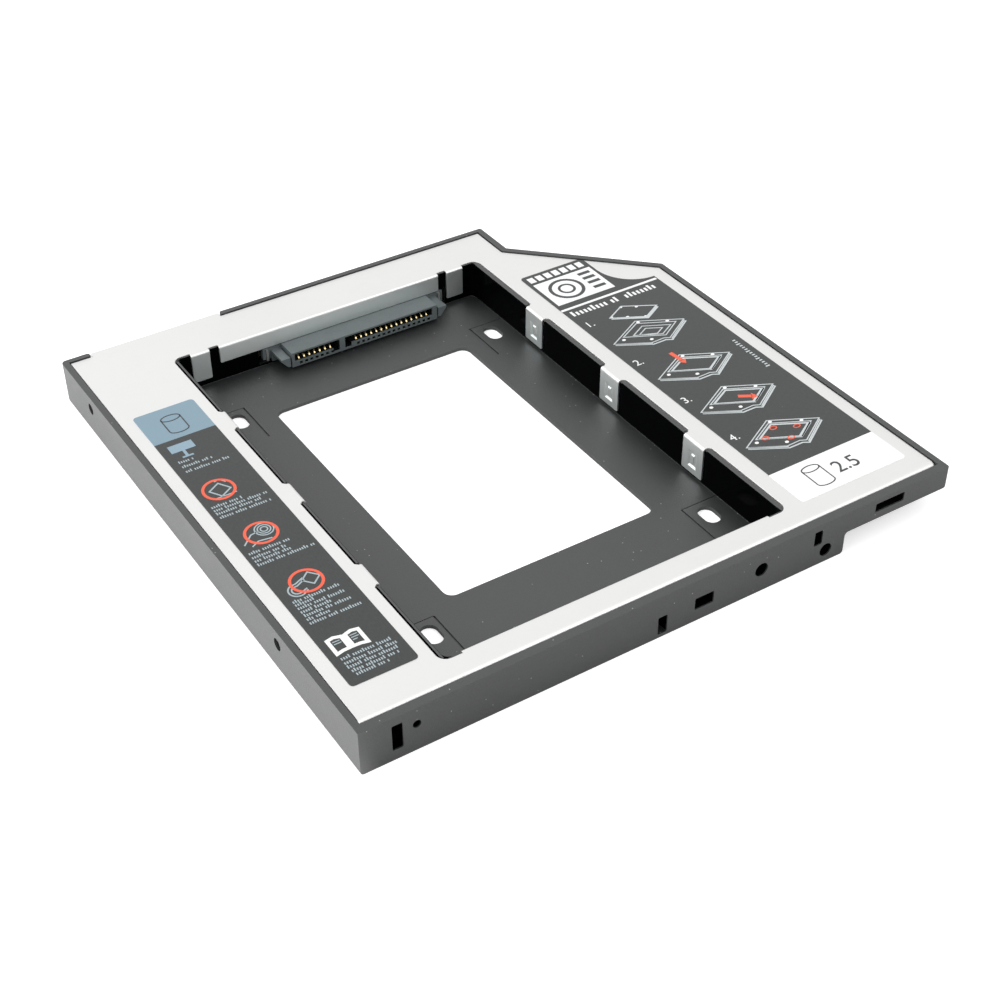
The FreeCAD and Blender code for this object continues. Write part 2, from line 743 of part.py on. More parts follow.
def front_edge():
    """The cover's front edge, rolled down over a larger radius and ending in a short lip."""
    y_face = front + rim_front + cover_edge_gap
    centre_y = y_face + front_bend_radius
    centre_z = cover_top - front_bend_radius
    inner = front_bend_radius - sheet
    diagonal = math.sqrt(0.5)
    foot = cover_top - front_lip_depth
    x0 = left + rim_left + cover_edge_gap
    x1 = right - rim_right - cover_edge_gap
    corners = [vector(x0, centre_y, cover_top), vector(x0, y_face, centre_z), vector(x0, y_face, foot),
               vector(x0, y_face + sheet, foot), vector(x0, y_face + sheet, centre_z),
               vector(x0, centre_y, cover_bottom)]
    outside = Part.Arc(corners[0], vector(x0, centre_y - front_bend_radius * diagonal,
                                          centre_z + front_bend_radius * diagonal), corners[1])
    inside = Part.Arc(corners[4], vector(x0, centre_y - inner * diagonal, centre_z + inner * diagonal),
                      corners[5])
    edges = [outside.toShape()]
    edges += [Part.LineSegment(corners[index], corners[index + 1]).toShape() for index in (1, 2, 3)]
    edges += [inside.toShape(), Part.LineSegment(corners[5], corners[0]).toShape()]
    return Part.Face(Part.Wire(edges)).extrude(vector(x1 - x0, 0, 0))


def make_cover():
    """The cover: one sheet, cut out and folded."""
    gap = cover_edge_gap
    plate = prism(caddy_outline(rim_left + gap, rim_front + gap + front_bend_radius, rim_right + gap,
                                rim_diagonal + gap, rim_short_side + gap, rim_rear + gap),
                  cover_bottom, cover_top)
    rear_tongue = box(plug_gap_x0 + gap, plug_gap_x1 - gap, rear - rim_rear - 2 * gap, rear,
                      cover_bottom, cover_top)
    opening = rounded_box(opening_x0, opening_x1, opening_y0, opening_y1, cover_bottom - reach,
                          cover_top + reach, opening_radius)
    plate = plate.fuse([rear_tongue, front_edge()]).cut(opening)
    root_left = opening_left_setback + sheet - bend_outside_radius
    root_right = opening_right_setback + sheet - bend_outside_radius
    tabs = []
    for y in side_tab_centres():
        tabs.append(placed(side_tab(root_left), 180, bay_x0 + sheet, y))
        tabs.append(placed(side_tab(root_right), 0, bay_x1 - sheet, y))
    drops = (end_flange_drop, rear_tab_drop, rear_tab_drop)
    root_rear = opening_rear_setback + sheet - bend_outside_radius
    for (middle_x, half_width), drop in zip(end_tab_spans(), drops):
        tabs.append(placed(folded_tab(2 * half_width, drop, root_rear), 90, middle_x, bay_y1 - sheet))
    root_front = opening_front_setback + sheet - bend_outside_radius
    tabs.append(placed(folded_tab(front_flange_width, end_flange_drop, root_front), -90,
                       bay_centre_x, bay_y0 + sheet))
    return plate.fuse(tabs).removeSplitter()


def make_left_label():
    return rounded_box(left + left_label_left, bay_x0 - left_label_bay_margin,
                       front + left_label_front, rear - left_label_rear_margin,
                       cover_top, cover_top + label_thickness, label_corner_radius)


def make_right_label():
    """The right label, whose rear right corner is swept away in a hollow curve."""
    x_right = right - right_label_right_margin
    x_top = x_right - right_label_sweep_width
    y_rear = rear - right_label_rear_margin
    y_side = front + wing_side_length - right_label_sweep_setback
    film = rounded_box(bay_x1 + right_label_bay_margin, x_right, front + right_label_front, y_rear,
                       cover_top, cover_top + label_thickness, label_corner_radius)
    corner = box(x_top, x_right + reach, y_side, y_rear + reach, cover_top - reach, cover_top + reach)
    corner = fillet_where(corner, right_label_sweep_width, lambda edge, middle:
                          is_upright(edge) and near(middle.x, x_top) and near(middle.y, y_side))
    edge = cover_edge_gap + cover_clearance
    plate = prism(caddy_outline(rim_left + edge, rim_front + edge, rim_right + edge, rim_diagonal + edge,
                                rim_short_side + edge, rim_rear + edge), cover_bottom, height)
    return film.cut(corner).common(plate)


def make_circuit_board():
    """The board: a strip behind the bay, with a notch for the rear plug."""
    x0 = left + rim_left + cover_ledge + board_side_clearance
    x1 = body_right - body_right_wall - board_side_clearance
    board = box(x0, x1, board_front, board_rear, board_bottom, board_top)
    notch = plug_half_width + plug_board_clearance
    cuts = [box(plug_x - notch, plug_x + notch, plug_base_y0 - plug_board_clearance, rear, 0, height)]
    hole = board_screw_radius + board_screw_clearance
    cuts += [cylinder(hole, board_thickness + 2 * reach, (x, board_screw_y, board_bottom - reach), (0, 0, 1))
             for x in board_screw_xs]
    return board.cut(cuts)


def make_receptacle_clip(side):
    """A bent metal strip down the front of the receptacle's ear, and on under the board."""
    x = receptacle_x + side * (receptacle_arm_reach + receptacle_ear_reach) / 2
    y = receptacle_ear_y0 - clip_thickness / 2
    z = board_bottom - clip_thickness / 2
    path = [(y, receptacle_ear_z1 - clip_below_ear_top), (y, z), (board_front + clip_board_reach, z)]
    return prism_along_x(strip_outline(path, clip_thickness), x - clip_width / 2, x + clip_width / 2)


def contact_places(first, pitch, count):
    return [first + index * pitch for index in range(count)]


def receptacle_contact_offsets():
    return (contact_places(first_signal_offset, contact_pitch, signal_contact_count)
            + contact_places(first_power_offset, contact_pitch, power_contact_count))


def make_receptacle():
    """The drive receptacle's plastic housing, with its two slots, arms, ears and contact cells."""
    x = receptacle_x
    y0 = receptacle_y0
    y1 = receptacle_y1
    z0 = receptacle_z0
    z1 = receptacle_z1
    half = receptacle_half_width
    housing = box(x - half, x + half, y0, y1, z0, z1)
    arm_z0 = z0 + receptacle_arm_rise
    arm_z1 = z1 - receptacle_arm_drop
    for side in (-1, 1):
        inner = x + side * (half + receptacle_arm_gap)
        outer = x + side * receptacle_arm_reach
        arm = prism_along_y([(inner, arm_z0), (outer - side * receptacle_arm_undercut, arm_z0),
                             (outer, arm_z1 - receptacle_arm_side_height), (outer, arm_z1),
                             (inner, arm_z1)], y0, y1)
        low, high = sorted((x + side * half, outer))
        root = box(low, high, y0 + receptacle_arm_root, y1, z0, arm_z1)
        low, high = sorted((x + side * half, x + side * receptacle_ear_reach))
        ear = box(low, high, receptacle_ear_y0, y1, board_bottom, receptacle_ear_z1)
        housing = housing.fuse([arm, root, ear])
    housing = housing.removeSplitter()
    slot_rear = y0 + receptacle_slot_depth
    slot_z0 = receptacle_slot_z0
    slot_z1 = receptacle_slot_z1
    signal_from = x - half + signal_slot_end_wall
    signal_to = x + last_signal_offset + signal_slot_inner_room
    power_from = x + first_power_offset - power_slot_inner_room
    power_to = x + half - power_slot_end_wall
    key_z0 = z0 + key_rise
    cuts = [box(signal_from, signal_to, y0 - reach, slot_rear, slot_z0, slot_z1),
            box(power_from, power_to, y0 - reach, slot_rear, slot_z0, slot_z1),
            box(signal_to - key_width, signal_to, y0 - reach, slot_rear, key_z0, slot_z0),
            box(power_from, power_from + key_width, y0 - reach, slot_rear, key_z0, slot_z0)]
    cell = contact_cell_width / 2
    y_bar = y0 + contact_bar_depth
    for offset in receptacle_contact_offsets():
        x_cell = x + offset
        cuts.append(box(x_cell - cell, x_cell + cell, y0 - reach, y1 + reach,
                        contact_cell_z0, contact_cell_z1))
        cuts.append(box(x_cell - cell, x_cell + cell, y_bar, y_bar + contact_cell_length,
                        contact_cell_z0, slot_z0))
    return housing.cut(cuts)


def make_receptacle_contact(offset):
    """One sprung contact: a hooked tip in its cell, a beam through the housing and a tail on the board."""
    half = contact_thickness / 2
    z_beam = contact_cell_z0 + contact_thickness
    z_tail = board_top + half
    y_tip = receptacle_y0 + contact_tip_set_back
    y_rear = receptacle_y1 + contact_thickness
    path = [(y_tip - contact_hook_run, z_beam + contact_thickness),
            (y_tip - contact_hook_rise_run, receptacle_slot_z0),
            (y_tip, receptacle_slot_z0 + contact_tip_rise),
            (y_tip + contact_fall_run, z_beam),
            (y_rear, z_beam),
            (y_rear + contact_tail_drop_run, z_tail),
            (y_rear + contact_tail_length, z_tail)]
    x = receptacle_x + offset
    return prism_along_x(strip_outline(path, contact_thickness), x - contact_width / 2, x + contact_width / 2)


def plug_contact_path():
    """The middle line of a rear plug's contact, along its tongue and down to the board."""
    half = plug_contact_thickness / 2
    z_tongue = plug_tongue_z0 + plug_tongue_thickness + half
    z_board = board_top + half
    y_front = plug_base_y0 - plug_board_clearance
    return [(plug_base_y1 + plug_tongue_length - plug_contact_setback, z_tongue),
            (plug_base_y1 - plug_base_depth / 2, z_tongue),
            (plug_base_y1 - plug_base_depth / 2 - plug_contact_drop_run, z_board),
            (y_front - plug_tail_length, z_board)]


def plug_contact_offsets():
    return (contact_places(plug_first_signal, plug_signal_pitch, plug_signal_count)
            + contact_places(plug_first_power, plug_power_pitch, plug_power_count))


def make_plug_contact(offset):
    x = plug_x + offset
    outline = strip_outline(plug_contact_path(), plug_contact_thickness)
    return prism_along_x(outline, x - plug_contact_width / 2, x + plug_contact_width / 2)


def make_rear_plug():
    """The rear plug's plastic body: a base on the frame's floor, two posts and a tongue in two parts."""
    x = plug_x
    body = box(x - plug_half_width, x + plug_half_width, plug_base_y0, plug_base_y1,
               floor_thickness, floor_thickness + plug_height)
    y_end = plug_base_y1 + plug_post_length
    post_z0 = floor_thickness + plug_post_above_floor
    parts = []
    for side in (-1, 1):
        low, high = sorted((x + side * plug_half_width, x + side * (plug_half_width - plug_post_width)))
        post = box(low, high, plug_base_y1, y_end, post_z0, post_z0 + plug_post_height)
        post = post.makeChamfer(plug_post_chamfer, [edge for edge in post.Edges
                                if near(edge.BoundBox.Center.y, y_end)])
        parts.append(post)
    z0 = plug_tongue_z0
    z1 = z0 + plug_tongue_thickness
    y_tip = plug_base_y1 + plug_tongue_length
    signal_to = x + plug_last_signal + plug_signal_inner_room
    power_from = x + plug_first_power - plug_power_inner_room
    parts += [box(x + plug_first_signal - plug_signal_outer_room, signal_to, plug_base_y1, y_tip, z0, z1),
              box(power_from, x + plug_last_power + plug_power_outer_room, plug_base_y1, y_tip, z0, z1),
              box(signal_to - plug_key_width, signal_to, plug_base_y1, y_tip, z1, z1 + plug_key_rise),
              box(power_from, power_from + plug_key_width, plug_base_y1, y_tip, z1, z1 + plug_key_rise)]
    body = body.fuse(parts).removeSplitter()
    channel = strip_outline(plug_contact_path(), plug_contact_thickness + 2 * plug_channel_clearance)
    half = plug_contact_width / 2 + plug_channel_clearance
    return body.cut([prism_along_x(channel, x + offset - half, x + offset + half)
                     for offset in plug_contact_offsets()])


def make_board_screws():
    """The two screws that hold the board down, as one group."""
    screws = []
    for x in board_screw_xs:
        head = cylinder(board_screw_head_radius, board_screw_head_height, (x, board_screw_y, board_top),
                        (0, 0, 1))
        top = board_top + board_screw_head_height
        head = fillet_where(head, board_screw_head_height / 2,
                            lambda edge, middle: near(edge.BoundBox.ZMin, top))
        shank = cylinder(board_screw_radius, board_screw_grip,
                         (x, board_screw_y, board_top - board_screw_grip), (0, 0, 1))
        half_width = screw_cross_width / 2
        half_length = screw_cross_length / 2
        z0 = top - screw_cross_depth
        cross = [box(x - half_length, x + half_length, board_screw_y - half_width, board_screw_y + half_width,
                     z0, top + reach),
                 box(x - half_width, x + half_width, board_screw_y - half_length, board_screw_y + half_length,
                     z0, top + reach)]
        screws.append(head.fuse(shank).removeSplitter().cut(cross))
    return Part.makeCompound(screws)


def component_places(from_gap, from_right):
    """Places on the board, some counted from the plug's gap and some from the body's right side."""
    return ([(plug_gap_x1 + x, rear - y) for x, y in from_gap]
            + [(body_right - x, rear - y) for x, y in from_right])


def make_component(size, x, y):
    """A chip part: a ceramic body with a slightly larger metal cap at each end, as one solid."""
    length, breadth, tall = size
    skin = component_cap_skin
    parts = []
    for side in (-1, 1):
        low, high = sorted((x + side * length / 2, x + side * (length / 2 - component_cap)))
        parts.append(box(low, high, y - breadth / 2, y + breadth / 2, board_top, board_top + tall))
    body = box(x - length / 2 + component_cap, x + length / 2 - component_cap, y - breadth / 2 + skin,
               y + breadth / 2 - skin, board_top, board_top + tall - skin)
    return body.fuse(parts).removeSplitter()


def make_nodes():
    """Every separate piece of the caddy by name."""
    nodes = {
        "frame": make_frame(),
        "cover": make_cover(),
        "left_label": make_left_label(),
        "right_label": make_right_label(),
        "circuit_board": make_circuit_board(),
        "drive_receptacle": make_receptacle(),
        "receptacle_clip_left": make_receptacle_clip(-1),
        "receptacle_clip_right": make_receptacle_clip(1),
        "rear_plug": make_rear_plug(),
        "board_screws": make_board_screws(),
    }
    groups = (
        ("receptacle_signal_contact", make_receptacle_contact,
         contact_places(first_signal_offset, contact_pitch, signal_contact_count)),
        ("receptacle_power_contact", make_receptacle_contact,
         contact_places(first_power_offset, contact_pitch, power_contact_count)),
        ("plug_signal_contact", make_plug_contact,
         contact_places(plug_first_signal, plug_signal_pitch, plug_signal_count)),
        ("plug_power_contact", make_plug_contact,
         contact_places(plug_first_power, plug_power_pitch, plug_power_count)),
    )
    for name, make, offsets in groups:
        for number, offset in enumerate(offsets, 1):
            nodes[f"{name}_{number}"] = make(offset)
    capacitor_places = component_places(left_capacitor_places, right_capacitor_places)
    for number, (x, y) in enumerate(capacitor_places, 1):
        nodes[f"board_capacitor_{number}"] = make_component(capacitor_size, x, y)
    resistor_places = component_places(left_resistor_places, right_resistor_places)
    for number, (x, y) in enumerate(resistor_places, 1):
        nodes[f"board_resistor_{number}"] = make_component(resistor_size, x, y)
    return nodes


os.makedirs("parts", exist_ok=True)
for node_name, node_shape in make_nodes().items():
    node_shape.exportStep(f"parts/{node_name}.step")
    print(node_name, len(node_shape.Solids), round(node_shape.Volume, 2), node_shape.isValid())
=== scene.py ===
"""Dresses a packed laptop drive caddy and sets up its portrait.

The frame, the folded cover, the labels' films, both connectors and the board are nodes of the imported
model. They keep their meshes and get finishes made of shader nodes. The printing on the two labels is
modelled here as thin films of ink, drawn in edit mode.

Sizes in fields are in millimetres, and turn into metres where they reach a mesh or a node.
"""

import logging
import math
from collections.abc import Sequence
from dataclasses import dataclass
from enum import Enum

import bmesh
import bpy
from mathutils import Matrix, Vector


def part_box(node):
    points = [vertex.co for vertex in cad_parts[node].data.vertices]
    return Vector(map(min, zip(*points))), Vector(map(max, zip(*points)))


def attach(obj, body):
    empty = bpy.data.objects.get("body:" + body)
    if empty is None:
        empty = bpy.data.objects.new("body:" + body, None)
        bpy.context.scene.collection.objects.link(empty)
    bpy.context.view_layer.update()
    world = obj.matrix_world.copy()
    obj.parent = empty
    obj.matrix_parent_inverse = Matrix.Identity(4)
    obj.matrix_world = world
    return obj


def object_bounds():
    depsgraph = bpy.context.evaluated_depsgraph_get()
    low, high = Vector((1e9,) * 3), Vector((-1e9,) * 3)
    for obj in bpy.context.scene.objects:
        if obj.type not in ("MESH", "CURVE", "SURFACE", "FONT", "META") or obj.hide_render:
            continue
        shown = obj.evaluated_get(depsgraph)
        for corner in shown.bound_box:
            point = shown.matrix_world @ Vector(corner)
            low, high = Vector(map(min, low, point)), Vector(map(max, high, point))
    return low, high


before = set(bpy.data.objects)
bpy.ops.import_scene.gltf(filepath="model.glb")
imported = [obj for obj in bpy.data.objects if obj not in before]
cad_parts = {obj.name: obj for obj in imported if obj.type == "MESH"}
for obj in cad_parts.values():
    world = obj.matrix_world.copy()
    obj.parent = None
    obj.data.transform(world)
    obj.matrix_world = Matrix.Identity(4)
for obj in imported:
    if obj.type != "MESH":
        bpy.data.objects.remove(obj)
cad_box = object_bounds()

MM = 0.001
log = logging.getLogger("caddy")

Colour = tuple[float, float, float]
Place = tuple[float, float, float]
Point = tuple[float, float]
Span = tuple[float, float]
Limits = tuple[float, float, float, float]
Rows = tuple[tuple[float, float, float], ...]
Path = Sequence[Point]

# The Mix node's sockets for colours go by number, as it has others with the same names.
MIX_FACTOR, MIX_FIRST, MIX_SECOND, MIX_RESULT = 0, 6, 7, 2


# Shader maths

@dataclass(frozen=True)
class Signal:
    """An output of a shader node that takes part in sums as a number does.

    Attributes:
        tree: the node tree that new Math nodes go into.
        socket: the output that carries the value.
    """

    tree: bpy.types.NodeTree
    socket: bpy.types.NodeSocket

    def _math(self, operation: str, *values: "Signal | float") -> "Signal":
        """Adds a Math node.

        Args:
            operation: what it does.
            values: what it works on, in order.

        Returns:
            Its result.
        """
        node = self.tree.nodes.new("ShaderNodeMath")
        node.operation = operation
        for socket, value in zip(node.inputs, values):
            if isinstance(value, Signal):
                self.tree.links.new(value.socket, socket)
            else:
                socket.default_value = value
        return Signal(self.tree, node.outputs[0])

    def __add__(self, other: "Signal | float") -> "Signal":
        """This plus the other."""
        return self._math("ADD", self, other)

    def __radd__(self, other: float) -> "Signal":
        """The other plus this."""
        return self._math("ADD", other, self)

    def __sub__(self, other: "Signal | float") -> "Signal":
        """This less the other."""
        return self._math("SUBTRACT", self, other)

    def __rsub__(self, other: float) -> "Signal":
        """The other less this."""
        return self._math("SUBTRACT", other, self)

    def __mul__(self, other: "Signal | float") -> "Signal":
        """This times the other."""
        return self._math("MULTIPLY", self, other)

    def __rmul__(self, other: float) -> "Signal":
        """The other times this."""
        return self._math("MULTIPLY", other, self)

    def __truediv__(self, other: "Signal | float") -> "Signal":
        """This divided by the other."""
        return self._math("DIVIDE", self, other)

    def __rtruediv__(self, other: float) -> "Signal":
        """The other divided by this."""
        return self._math("DIVIDE", other, self)

    def __gt__(self, other: "Signal | float") -> "Signal":
        """1 where this is more than the other, and 0 elsewhere."""
        return self._math("GREATER_THAN", self, other)

    def __lt__(self, other: "Signal | float") -> "Signal":
        """1 where this is less than the other, and 0 elsewhere."""
        return self._math("LESS_THAN", self, other)

    def __abs__(self) -> "Signal":
        """This without its sign."""
        return self._math("ABSOLUTE", self)

    def fraction(self) -> "Signal":
        """This without its whole part."""
        return self._math("FRACT", self)

    def within(self, low: float, high: float) -> "Signal":
        """1 where this lies between two numbers, and 0 elsewhere."""
        return (self > low) * (self < high)

    def held(self) -> "Signal":
        """This, held between 0 and 1."""
        return self._math("MINIMUM", self._math("MAXIMUM", self, 0.0), 1.0)

    def ramped(self, low: float, high: float) -> "Signal":
        """0 up to the low number, 1 from the high one on, and a straight rise between them."""
        return ((self - low) / (high - low)).held()


@dataclass(frozen=True)
class Block:
    """An upright block of space, by two opposite corners."""

    low: Place
    high: Place


class Recipe:
    """The node tree of one material or of the world, which a finish fills in."""

    def __init__(self, owner: "bpy.types.Material | bpy.types.World") -> None:
        """Starts an empty tree.

        Args:
            owner: the material or world whose nodes these are.
        """
        owner.use_nodes = True
        self.tree = owner.node_tree
        self.tree.nodes.clear()

    def add(self, kind: str, settings: "dict[str, object] | None" = None,
            sockets: "dict[str | int, object] | None" = None) -> bpy.types.ShaderNode:
        """Adds one node.

        Args:
            kind: the node's type.
            settings: its properties, which are set first.
            sockets: a value or a Signal for each named or numbered input.

        Returns:
            The node.
        """
        made = self.tree.nodes.new(kind)
        for name, value in (settings or {}).items():
            setattr(made, name, value)
        for key, value in (sockets or {}).items():
            if isinstance(value, Signal):
                self.tree.links.new(value.socket, made.inputs[key])
            else:
                made.inputs[key].default_value = value
        return made

    def node(self, kind: str, settings: "dict[str, object] | None" = None,
             sockets: "dict[str | int, object] | None" = None, output: "str | int" = 0) -> Signal:
        """Adds one node in the same way, and hands back the output of this name or number."""
        return Signal(self.tree, self.add(kind, settings, sockets).outputs[output])

    def place(self) -> Signal:
        """The point's place on the piece, in metres."""
        return self.node("ShaderNodeTexCoord", output="Object")

    def axes(self, place: Signal) -> tuple[Signal, ...]:
        """The x, y and z of a place, each a Signal."""
        split = self.add("ShaderNodeSeparateXYZ", {}, {"Vector": place})
        return tuple(Signal(self.tree, output) for output in split.outputs)

    def rays(self) -> tuple[Signal, ...]:
        """1 or 0 for a ray from the camera, for one in a reflection and for one through glass."""
        path = self.add("ShaderNodeLightPath")
        return tuple(Signal(self.tree, path.outputs[name])
                     for name in ("Is Camera Ray", "Is Glossy Ray", "Is Transmission Ray"))

    def scaled(self, place: Signal, factors: Place) -> Signal:
        """The place with each axis multiplied, so that a pattern on it is drawn out."""
        return self.node("ShaderNodeVectorMath", {"operation": "MULTIPLY"}, {0: place, 1: factors})

    def noise(self, place: Signal, size: float, detail: float = 2.0, roughness: float = 0.5) -> Signal:
        """Cloudy noise from 0 to 1.

        Args:
            place: where it is read.
            size: the size of a patch.
            detail: how many finer layers it has.
            roughness: how strong the finer layers are.

        Returns:
            The noise.
        """
        return self.node("ShaderNodeTexNoise", {}, {"Vector": place, "Scale": 1 / (size * MM),
                                                    "Detail": detail, "Roughness": roughness}, "Fac")

    def specks(self, place: Signal, spacing: float, radius: float, share: float) -> Signal:
        """Scattered round specks: 1 inside one, and 0 elsewhere.

        Args:
            place: where they are read.
            spacing: the mean distance between two seats for a speck.
            radius: a speck's radius.
            share: the share of the seats that hold one.

        Returns:
            The mask.
        """
        seats = self.add("ShaderNodeTexVoronoi", {"feature": "F1"},
                         {"Vector": place, "Scale": 1 / (spacing * MM)})
        distance, tint = (Signal(self.tree, seats.outputs[name]) for name in ("Distance", "Color"))
        return (distance < radius / spacing) * (self.axes(tint)[0] < share)

    def mixed(self, factor: "Signal | float", first: "Signal | Colour", second: "Signal | Colour") -> Signal:
        """The first colour where the factor is 0, and the second where it is 1."""
        colours = [value if isinstance(value, Signal) else (*value, 1.0) for value in (first, second)]
        return self.node("ShaderNodeMix", {"data_type": "RGBA"},
                         {MIX_FACTOR: factor, MIX_FIRST: colours[0], MIX_SECOND: colours[1]}, MIX_RESULT)

    def softened(self, radius: float) -> Signal:
        """The normal, turned over the radius at each edge as if the edge were round."""
        return self.node("ShaderNodeBevel", {"samples": 4}, {"Radius": radius * MM})

    def lean(self, rounded: Signal) -> Signal:
        """How far a rounded normal leans from the face's own.

        Args:
            rounded: the rounded normal.

        Returns:
            0 on a flat, and more at an edge.
        """
        own = self.node("ShaderNodeNewGeometry", output="True Normal")
        along = self.node("ShaderNodeVectorMath", {"operation": "DOT_PRODUCT"}, {0: rounded, 1: own}, "Value")
        return 1 - along

    def relief(self, height: Signal, depth: float, normal: "Signal | None" = None) -> Signal:
        """The normal of a surface whose height varies.

        Args:
            height: the height, from 0 to 1.
            depth: the distance between 0 and 1.
            normal: the normal that it starts from, if not the face's own.

        Returns:
            The new normal.
        """
        sockets = {"Height": height, "Distance": depth * MM}
        return self.node("ShaderNodeBump", {}, sockets | ({"Normal": normal} if normal else {}))

    def inside(self, place: Signal, block: Block) -> Signal:
        """1 where the place lies inside an upright block, and 0 elsewhere."""
        x, y, z = (axis.within(low * MM, high * MM)
                   for axis, low, high in zip(self.axes(place), block.low, block.high))
        return x * y * z

    def principled(self, sockets: "dict[str, object]") -> Signal:
        """A principled shader that has these values."""
        ready = {key: (*value, 1.0) if isinstance(value, tuple) else value for key, value in sockets.items()}
        return self.node("ShaderNodeBsdfPrincipled", {}, ready)

    def surface(self, sockets: "dict[str, object]") -> None:
        """Ends a material with a principled shader that has these values."""
        self.end(self.principled(sockets))

    def end(self, shader: Signal, kind: str = "ShaderNodeOutputMaterial") -> None:
        """Sends a shader to an output node of this type."""
        self.add(kind, {}, {"Surface": shader})


def shade(colour: Colour, factor: float) -> Colour:
    """A colour made darker or lighter by a factor."""
    return tuple(min(value * factor, 1.0) for value in colour)


# Finishes

@dataclass(frozen=True)
class Finish:
    """What a surface is made of."""

    name: str

    def fill(self, recipe: Recipe) -> None:
        """Adds the finish's nodes to a recipe.

        Args:
            recipe: the node tree that they go into.
        """
        raise NotImplementedError

    def make(self) -> bpy.types.Material:
        """The finish as a new material."""
        material = bpy.data.materials.new(self.name)
        self.fill(Recipe(material))
        return material


@dataclass(frozen=True)
class MouldedPlastic(Finish):
    """Charcoal moulded plastic with a fine spark texture and painted highlights along its edges, and a
    smoother, near-black copy of it in three blocks, whose darkness is painted shade and whose polish is real.

    Attributes:
        bay: the block that holds the bay's walls, painted into shade.
        shaded_front_hollow: the block behind the front wall, seen through its slots, painted into shade.
        shaded_lip_gap: the block of the gap beside the bay's left lip, painted into shade.
    """

    bay: Block
    shaded_front_hollow: Block
    shaded_lip_gap: Block
    base: Colour = (0.0105, 0.0125, 0.0125)
    roughness: float = 0.49
    refraction: float = 1.9
    texture_size: float = 0.26
    texture_depth: float = 0.045
    cloud_size: float = 14.0
    dust_colour: Colour = (0.45, 0.45, 0.44)
    dust_spacing: float = 1.3
    dust_radius: float = 0.11
    dust_share: float = 0.2
    edge_radius: float = 0.08
    # Painted shade: the near-black colour of the three blocks.
    painted_wall_shade: Colour = (0.0006, 0.0007, 0.0008)
    wall_roughness: float = 0.12
    wall_refraction: float = 1.06
    polish_size: float = 5.0
    polish_depth: float = 0.004

    def fill(self, recipe: Recipe) -> None:
        """Adds the finish's nodes to a recipe.

        Args:
            recipe: the node tree that they go into.
        """
        place = recipe.place()
        # Where the painted shade goes: the bay's walls, the hollow behind the front wall and the gap beside
        # the left lip.
        inside = (recipe.inside(place, self.bay) + recipe.inside(place, self.shaded_front_hollow)
                  + recipe.inside(place, self.shaded_lip_gap)).held()
        texture = recipe.noise(place, self.texture_size, 2.0, 0.6)
        clouds = recipe.noise(place, self.cloud_size, 4.0, 0.6)
        rounded = recipe.softened(self.edge_radius)
        # Painted highlight: a mask that rises where the rounded normal leans away, along each edge.
        edge = (recipe.lean(rounded) * 3.0).held()
        dust = recipe.specks(place, self.dust_spacing, self.dust_radius, self.dust_share)
        plain = recipe.mixed((texture * 0.6 + clouds * 0.4).ramped(0.35, 0.65),
                             shade(self.base, 0.6), shade(self.base, 1.45))
        # Painted highlight: the colour lightened along the edges.
        wear_and_edge_highlight = recipe.mixed(edge * 0.6, plain, shade(self.base, 3.0))
        body = recipe.principled({
            "Base Color": recipe.mixed(dust * 0.7, wear_and_edge_highlight, self.dust_colour),
            "Roughness": self.roughness + (clouds - 0.5) * 0.12,
            "Normal": recipe.relief(texture, self.texture_depth, rounded),
            "IOR": self.refraction})
        polish = recipe.noise(place, self.polish_size)
        # The near-black copy, which paints the shade in the three blocks; its smoother polish is real.
        wall = recipe.principled({
            "Base Color": recipe.mixed(polish, self.painted_wall_shade, shade(self.painted_wall_shade, 2.0)),
            "Roughness": self.wall_roughness + (polish - 0.5) * 0.08,
            "Normal": recipe.relief(polish, self.polish_depth),
            "IOR": self.wall_refraction})
        recipe.end(recipe.node("ShaderNodeMixShader", {}, {0: inside, 1: body, 2: wall}))


@dataclass(frozen=True)
class SatinSheet(Finish):
    """Bright rolled sheet metal with a satin skin, faint rolling marks and soft smudges, and painted shade
    and reflection, darker and greenish, on its parts in the bay.
    """

    # The block of the sheet's parts in the bay, which get painted shade and reflection.
    bay: Block
    base: Colour = (0.83, 0.83, 0.82)
    # Painted shade and reflection: the colour of the sheet's parts in the bay.
    bay_shade_and_reflection: Colour = (0.74, 0.80, 0.79)
    roughness: float = 0.46
    edge_radius: float = 0.18
    cloud_size: float = 22.0
    rolling_size: float = 0.16
    rolling_draw: Place = (1.0, 0.04, 1.0)
    grain_size: float = 0.12
    smudge_size: float = 6.0
    relief_depth: float = 0.0016

    def fill(self, recipe: Recipe) -> None:
        """Adds the finish's nodes to a recipe.

        Args:
            recipe: the node tree that they go into.
        """
        place = recipe.place()
        clouds = recipe.noise(place, self.cloud_size, 4.0, 0.6)
        rolling = recipe.noise(recipe.scaled(place, self.rolling_draw), self.rolling_size, 3.0, 0.6)
        grain = recipe.noise(place, self.grain_size)
        smudges = recipe.noise(place, self.smudge_size, 3.0, 0.7).ramped(0.55, 0.75)
        rounded = recipe.softened(self.edge_radius)
        # Painted shade and reflection on the sheet's parts in the bay.
        hue_with_bay_shade = recipe.mixed(recipe.inside(place, self.bay), self.base, self.bay_shade_and_reflection)
        tone = recipe.mixed(clouds.ramped(0.3, 0.7) * 0.5, hue_with_bay_shade, shade(self.base, 0.95))
        recipe.surface({
            "Base Color": recipe.mixed(smudges * 0.3, tone, shade(self.base, 0.93)),
            "Metallic": 1.0,
            "Roughness": self.roughness + (rolling - 0.5) * 0.1 + smudges * 0.05,
            "Normal": recipe.relief(grain * 0.5 + rolling * 0.5, self.relief_depth, rounded)})


